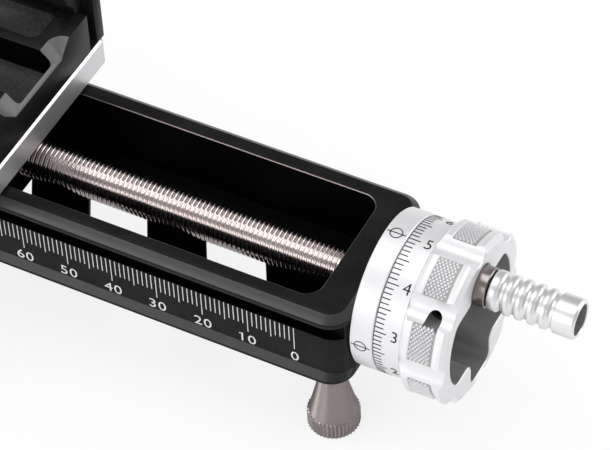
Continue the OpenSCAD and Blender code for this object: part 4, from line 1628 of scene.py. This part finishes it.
@dataclass
class Carriage:
    """The plate that spans the rail."""

    length: float = 60.0
    width: float = 48.4
    corner: float = 1.1
    low: float = 18.5
    low_ease: float = 0.3
    bevel: float = 1.0

    def build(self) -> None:
        """Builds the plate and publishes it."""
        low, ease, high, bevel = self.low, self.low_ease, CARRIAGE_TOP, self.bevel
        levels = [
            (z, self.length - 2 * inset, self.width - 2 * inset, self.corner - inset / 2)
            for z, inset in ((low, ease), (low + ease, 0.0), (high - bevel, 0.0), (high, bevel))
        ]
        plate = Form.block(upright(CARRIAGE_X, 0.0), levels, 8)
        publish("carriage_slab", plate, [SILVER_MILLED], "carriage", ["carriage_plate"], sharp=24.0)


@dataclass
class CameraClamp:
    """The dovetail clamp: pocketed base, fixed jaw, moving jaw and its knob."""

    edge: float = 0.16
    knob_edge: float = 0.12
    half_length: float = 30.0
    half_width: float = 19.0
    bed: float = 35.4
    # Height that every cutter from above reaches.
    above: float = 40.0
    pocket_half: float = 6.4
    pocket_floor: float = 29.1
    pocket_end_wall: float = 0.7
    pocket_corner: float = 1.0
    pad_y: float = 12.75
    pad_width: float = 7.9
    pad_length: float = 48.8
    pad_depth: float = 0.8
    pad_corner: float = 2.0
    scoop_half: float = 8.8
    scoop_length: float = 3.3
    scoop_depth: float = 3.1
    scoop_steps: int = 24
    relief_from: float = 16.1
    relief_half: float = 27.3
    relief_depth: float = 0.5
    screw_x: float = 10.0
    screw_y: float = 10.5
    screw_bore: tuple[Step, ...] = ((20.0, 30.4, 2.15), (30.4, 40.0, 3.5))
    pin_x: float = 18.0
    hole_height: float = 30.45
    hole_span: Point2 = (8.4, 20.0)
    pin_bore: float = 2.04
    stud_bore: float = 3.04
    bore_from: float = 10.0
    jaw_out: float = 24.2
    jaw_rise: float = 5.0
    jaw_lip: float = 2.4
    jaw_bevel: float = 1.2
    lip_bevel: float = 0.4
    mouth_rise: float = 0.6
    gap: float = 0.05
    pin_radius: float = 2.0
    pin_cover: float = 1.5
    head_bore: float = 2.85
    head_depth: float = 3.0
    jaw_screw_bore: float = 1.65
    notch_length: float = 3.0
    notch_width: float = 2.4
    notch_low: float = 0.6
    knob_near: float = 25.0
    knob_length: float = 13.0
    knob_radius: float = 10.0
    # The knob's profile: stations from its near and far end, and depths below its radius.
    knob_base: tuple[Point2, ...] = ((0.0, 3.0), (1.5, 3.0), (1.5, 0.6), (2.5, 0.6), (3.2, 0.0))
    knob_end: tuple[Point2, ...] = ((-1.0, 0.0), (0.0, 1.0), (0.0, 3.6), (-0.6, 3.6))
    knob_bore: Step = (24.0, 31.0, 3.0)
    knob_flutes: int = 8
    flute_from: float = 1.5
    flute_radius: float = 2.48
    flute_out: float = 1.705

    def _hole_axis(self, offset: float, side: float) -> Axis:
        """Returns the axis of a cross hole at an offset from the middle, towards a side."""
        return crosswise(CARRIAGE_X + offset, 0.0, self.hole_height, side)

    def _obround(self, radius: float) -> list[Point2]:
        """Outlines two half circles across the bed, joined by straight sides.

        Args:
            radius: The radius of both.

        Returns:
            The outline's points.
        """
        points = []
        for y, start in ((self.scoop_half, 0.0), (-self.scoop_half, math.pi)):
            turns = [start + math.pi * i / self.scoop_steps for i in range(self.scoop_steps + 1)]
            points += [(radius * math.cos(turn), y + radius * math.sin(turn)) for turn in turns]
        return points

    def _scoops(self) -> list[Form]:
        """Builds the cutters of the ramps that flare out of both ends of the bed.

        Returns:
            The cutters.
        """
        bottom, top = self.bed - self.scoop_depth, self.bed + PAST
        run = self.scoop_length * (self.scoop_depth + PAST) / self.scoop_depth
        radii = ((bottom, SKIN), (self.bed, self.scoop_length), (top, run))
        levels = [(z, self._obround(radius)) for z, radius in radii]
        ends = (upright(CARRIAGE_X + end * self.half_length, 0.0) for end in SIDES)
        # Slot 1 gives the ramps their pale painted highlight.
        return [Form.stack(axis, levels).marked(1) for axis in ends]

    def _base(self) -> Form:
        """Builds the clamp's base.

        Returns:
            The base.
        """
        m, h, w, above = CARRIAGE_X, self.half_length, self.half_width, self.above
        blank = Form.box((m - h, -w, CARRIAGE_TOP), (m + h, w, self.bed))
        inside = 2 * (h - self.pocket_end_wall)
        hollow = rounded_outline(inside, 2 * self.pocket_half, self.pocket_corner, 6)
        pocket = Form.prism(upright(m, 0.0), hollow, self.pocket_floor, above).marked(2, faces_down)
        # The pocket's walls take slot 3, near-black painted shade.
        tools = [pocket.marked(3, lambda c, n: abs(n.z) < 0.5), *self._scoops()]
        pad = rounded_outline(self.pad_length, self.pad_width, self.pad_corner, 8)
        pad_floor = self.bed - self.pad_depth
        for side in SIDES:
            cutter = Form.prism(upright(m, side * self.pad_y), pad, pad_floor, above)
            near, far = sorted((side * self.relief_from, side * (w + PAST)))
            low = (m - self.relief_half, near, self.bed - self.relief_depth)
            relief = Form.box(low, (m + self.relief_half, far, above))
            tools += [cutter.marked(2, faces_down), relief]
            for end in SIDES:
                axis = upright(m + end * self.screw_x, side * self.screw_y)
                tools.append(Form.rod(axis, *self.screw_bore))
        bores = ((-self.pin_x, self.pin_bore), (0.0, self.stud_bore), (self.pin_x, self.pin_bore))
        for offset, radius in bores:
            axis = self._hole_axis(offset, -1.0)
            tools.append(Form.rod(axis, (*self.hole_span, radius), segments=32))
        return blank.cut(*tools).eased(self.edge)

    def _jaw(self, side: float) -> Form:
        """Builds a jaw without its holes.

        Args:
            side: 1 for the fixed jaw at the back, -1 for the moving one.

        Returns:
            The jaw.
        """
        out, inner, h = self.jaw_out, self.half_width, self.half_length
        foot, face = CARRIAGE_TOP + self.gap, inner + self.gap
        top, mouth = self.bed + self.jaw_rise, self.bed + self.mouth_rise
        lip, ease = inner - self.jaw_lip, self.lip_bevel
        section = [
            (face, foot), (out, foot), (out, top - self.jaw_bevel), (out - self.jaw_bevel, top),
            (lip + ease, top), (lip, top - ease), (lip, mouth + self.jaw_lip), (face, mouth),
        ]
        along = Axis((CARRIAGE_X, 0.0, 0.0), (1.0, 0.0, 0.0), (0.0, side, 0.0), (0.0, 0.0, 1.0))
        notches = []
        low, high = sorted((side * (lip - PAST), side * (inner + self.notch_width)))
        for end in SIDES:
            near, far = sorted(CARRIAGE_X + end * (h + x) for x in (-self.notch_length, PAST))
            corner = (near, low, CARRIAGE_TOP + self.notch_low)
            notches.append(Form.box(corner, (far, high, top + PAST)))
        return Form.prism(along, section, -h, h).cut(*notches)

    def _knob(self) -> Form:
        """Builds the clamp's knob.

        Returns:
            The knob.
        """
        axis, near, r = self._hole_axis(0.0, -1.0), self.knob_near, self.knob_radius
        far = near + self.knob_length
        end = [(far + x, r - drop) for x, drop in self.knob_end]
        profile = [(near, 0.0), *((near + x, r - drop) for x, drop in self.knob_base), *end]
        tools = [Form.rod(axis, self.knob_bore)]
        flute = circle_outline(48, self.flute_radius)
        for i in range(self.knob_flutes):
            turn = 360.0 / self.knob_flutes * i
            centre = axis.polar(near + self.flute_from, r + self.flute_out, turn)
            tools.append(Form.prism(axis.through(centre), flute, 0.0, self.knob_length))
        knob = Form.turned(axis, [*profile, (end[-1][0], 0.0)], segments=128)
        return knob.cut(*tools).eased(self.knob_edge)

    def build(self) -> None:
        """Builds the clamp's pieces and publishes them."""
        # Slot 1 paints a highlight on the ramps, and slot 3 paints shade on the pocket's walls.
        bed = [BLACK_ANODISED, BLACK_RAMP_PAINTED_HIGHLIGHT, BLACK_GRAINY, BLACK_PAINTED_SHADE]
        publish("clamp_bed", self._base(), bed, "carriage", ["clamp_base"], sharp=26.0)
        start, out = self.bore_from, self.jaw_out
        head = out - self.head_depth
        screw = ((start, head, self.jaw_screw_bore), (head, out + PAST, self.head_bore))
        pin = (start, out - self.pin_cover, self.pin_radius)
        offsets = (-self.pin_x, self.pin_x)
        heads = [Form.rod(self._hole_axis(offset, 1.0), *screw) for offset in offsets]
        pins = [Form.rod(self._hole_axis(offset, -1.0), pin) for offset in offsets]
        stud = Form.rod(self._hole_axis(0.0, -1.0), (start, self.above, self.stud_bore))
        fixed = self._jaw(1.0).cut(*heads).eased(self.edge)
        moving = self._jaw(-1.0).cut(*pins, stud).eased(self.edge)
        for name, form, finish, body, node in (
            ("rear_jaw", fixed, BLACK_ANODISED, "carriage", "fixed_jaw"),
            ("front_jaw", moving, BLACK_ANODISED, "clamp_jaw", "moving_jaw"),
            ("jaw_knob", self._knob(), SILVER_ANODISED, "clamp_screw", "clamp_knob"),
        ):
            publish(name, form, [finish], body, [node], sharp=26.0)


@dataclass
class SmallParts:
    """The screws, pins, bearings and nuts whose CAD shapes serve, in their real materials."""

    looks: tuple[tuple[Finish, tuple[str, ...]], ...] = (
        (SCREW_BLACK, ("knob_screw", "pin_screw", "collar_screws", "nut_screws", "keeper_screws",
                       "clamp_base_screws", "jaw_screws")),
        (PIN_STEEL, ("detent_plunger", "crank_pin", "bearing_spacer", "grip_stud",
                     "jaw_guide_pins", "clamp_stud", "clamp_washer")),
        (BEARING_STEEL, ("bearing_inner_rings", "bearing_outer_rings", "bearing_balls")),
        (BLACK_MILLED, ("nut_block", "keeper_front", "keeper_back", "rear_cap")),
        (NUT_BRONZE, ("drive_nut", "backlash_nut")),
        (ACETAL, ("grip_washer", "slide_liners")),
    )

    def build(self) -> None:
        """Gives each of them its finish."""
        for finish, nodes in self.looks:
            dress(nodes, finish)


# ---- Studio ----

WHITE = (1.0, 1.0, 1.0, 1.0)


@dataclass
class Studio:
    """Floor, light and camera."""

    azimuth: float = 29.67
    elevation: float = 47.16
    roll: float = -2.964
    aim: Point3 = (100.0, 0.0, SCREW_HEIGHT)
    shift_right: float = 15.625
    shift_up: float = -11.51
    distance: float = 574.09
    focal_px: float = 3010.02
    image_width: int = 610
    sensor: float = 36.0
    floor_z: float = -16.4
    floor_half: float = 2500.0
    paper_mm: float = 25.0
    # Share of its own glow in the paper as the camera sees it, which makes its white even.
    paper_glow: float = 0.8
    # What the paper and the air keep of their light in the eyes of shiny surfaces.
    glossy_paper: float = 0.85
    air: float = 0.75
    glossy_air: float = 0.4
    lamp_aim: Point3 = (0.02, 0.0, 0.01)
    lamp_distance: float = 1.4
    # Each soft box: its direction, its size in metres and its power in watts.
    lamps: tuple[tuple[str, Point3, float, float], ...] = (
        ("top_box", (-0.32, 0.02, 0.95), 0.9, 6.6),
        ("front_box", (-0.34, -0.86, 0.40), 0.8, 4.0),
        ("rim_box", (0.73, 0.59, 0.34), 0.8, 5.0),
        ("low_box", (-0.86, -0.50, 0.16), 0.6, 7.0),
    )

    def camera(self) -> None:
        """Places the camera as the photograph was taken."""
        az, el, ro = (math.radians(a) for a in (self.azimuth, self.elevation, self.roll))
        back = Vector((math.sin(az) * math.cos(el), -math.cos(az) * math.cos(el), math.sin(el)))
        level = Vector((math.cos(az), math.sin(az), 0.0))
        rise = back.cross(level)
        right = math.cos(ro) * level + math.sin(ro) * rise
        up = -math.sin(ro) * level + math.cos(ro) * rise
        aim = Vector(self.aim)
        place = aim + self.distance * back - self.shift_right * right - self.shift_up * up
        lens = bpy.data.cameras.new("photo_camera")
        lens.lens = self.focal_px / self.image_width * self.sensor
        lens.sensor_width = self.sensor
        lens.sensor_fit = "HORIZONTAL"
        lens.clip_start = 0.01
        lens.clip_end = 50.0
        made = placed("photo_camera", lens)
        turn = Matrix((right, up, back)).transposed().to_4x4()
        made.matrix_world = Matrix.Translation(place * MM) @ turn
        bpy.context.scene.camera = made

    def light(self) -> None:
        """Sets the soft light and the white surroundings."""
        aim = Vector(self.lamp_aim)
        for name, away, size, power in self.lamps:
            data = bpy.data.lights.new(name, "AREA")
            data.shape = "SQUARE"
            data.size = size
            data.energy = power
            lamp = placed(name, data)
            lamp.location = aim + self.lamp_distance * Vector(away)
            lamp.rotation_euler = (aim - lamp.location).to_track_quat("-Z", "Y").to_euler()
        world = bpy.data.worlds.new("studio_air")
        tree = bare_tree(world)
        path = put(tree, "ShaderNodeLightPath")
        # Shiny surfaces see darker surroundings than matt ones, as among a studio's dark walls.
        level = put(
            tree, "ShaderNodeMapRange", {"To Min": self.air, "To Max": self.glossy_air},
            Value=path.outputs["Is Glossy Ray"],
        )
        soft = put(tree, "ShaderNodeBackground", {"Color": WHITE}, Strength=level.outputs["Result"])
        white = put(tree, "ShaderNodeBackground", {"Color": WHITE, "Strength": 1.0})
        both = put(
            tree, "ShaderNodeMixShader", _0=path.outputs["Is Camera Ray"],
            _1=soft.outputs[0], _2=white.outputs[0],
        )
        put(tree, "ShaderNodeOutputWorld", Surface=both.outputs[0])
        bpy.context.scene.world = world

    def _paper(self) -> bpy.types.Material:
        """Builds the floor's material: matt white paper that keeps a shadow.

        Returns:
            The material.
        """
        made = bpy.data.materials.new("white_paper")
        tree = bare_tree(made)
        place = put(tree, "ShaderNodeTexCoord").outputs["Object"]
        settings = {"Scale": 1.0 / (self.paper_mm * MM), "Detail": 2.0}
        noise = put(tree, "ShaderNodeTexNoise", settings, Vector=place)
        tone = put(tree, "ShaderNodeValToRGB", Fac=noise.outputs[0])
        for stop, colour in zip(tone.color_ramp.elements, ("#f6f6f6", "#fafafa")):
            stop.color = linear(colour)
        path = put(tree, "ShaderNodeLightPath")
        dim = put(
            tree, "ShaderNodeMapRange", {"To Min": 1.0, "To Max": self.glossy_paper},
            Value=path.outputs["Is Glossy Ray"],
        )
        shade = put(
            tree, "ShaderNodeVectorMath", {"operation": "SCALE"},
            _0=tone.outputs["Color"], Scale=dim.outputs["Result"],
        )
        paper = put(tree, "ShaderNodeBsdfDiffuse", Color=shade.outputs[0])
        glow = put(tree, "ShaderNodeEmission", {"Color": WHITE, "Strength": 1.0})
        part = put(
            tree, "ShaderNodeMath", {"operation": "MULTIPLY", 1: self.paper_glow},
            _0=path.outputs["Is Camera Ray"],
        )
        both = put(
            tree, "ShaderNodeMixShader",
            _0=part.outputs[0], _1=paper.outputs[0], _2=glow.outputs[0],
        )
        put(tree, "ShaderNodeOutputMaterial", Surface=both.outputs[0])
        return made

    def floor(self) -> None:
        """Lays the plain pale floor that keeps the object's shadow."""
        half, z = self.floor_half, self.floor_z
        mesh = bmesh.new()
        corners = ((-half, -half), (half, -half), (half, half), (-half, half))
        mesh.faces.new([mesh.verts.new((x, y, z)) for x, y in corners])
        data = bpy.data.meshes.new("studio_floor")
        mesh.to_mesh(data)
        mesh.free()
        data.transform(Matrix.Scale(MM, 4))
        data.materials.append(self._paper())
        placed("studio_floor", data)

    def build(self) -> None:
        """Sets up the studio."""
        self.camera()
        self.light()
        self.floor()
        bpy.context.scene.view_settings.view_transform = "Standard"


def main() -> None:
    """Builds the whole view, sub-assembly by sub-assembly."""
    logging.basicConfig(level=logging.INFO, format="%(name)s: %(message)s")
    for part in (
        RailBar(),
        RailScale(),
        IndexCollar(),
        ScrewInFoot(),
        LeadScrew(),
        DialRing(),
        CrankKnob(),
        FoldingCrank(),
        Carriage(),
        CameraClamp(),
        SmallParts(),
        Studio(),
    ):
        part.build()


if __name__ == "__main__":
    main()
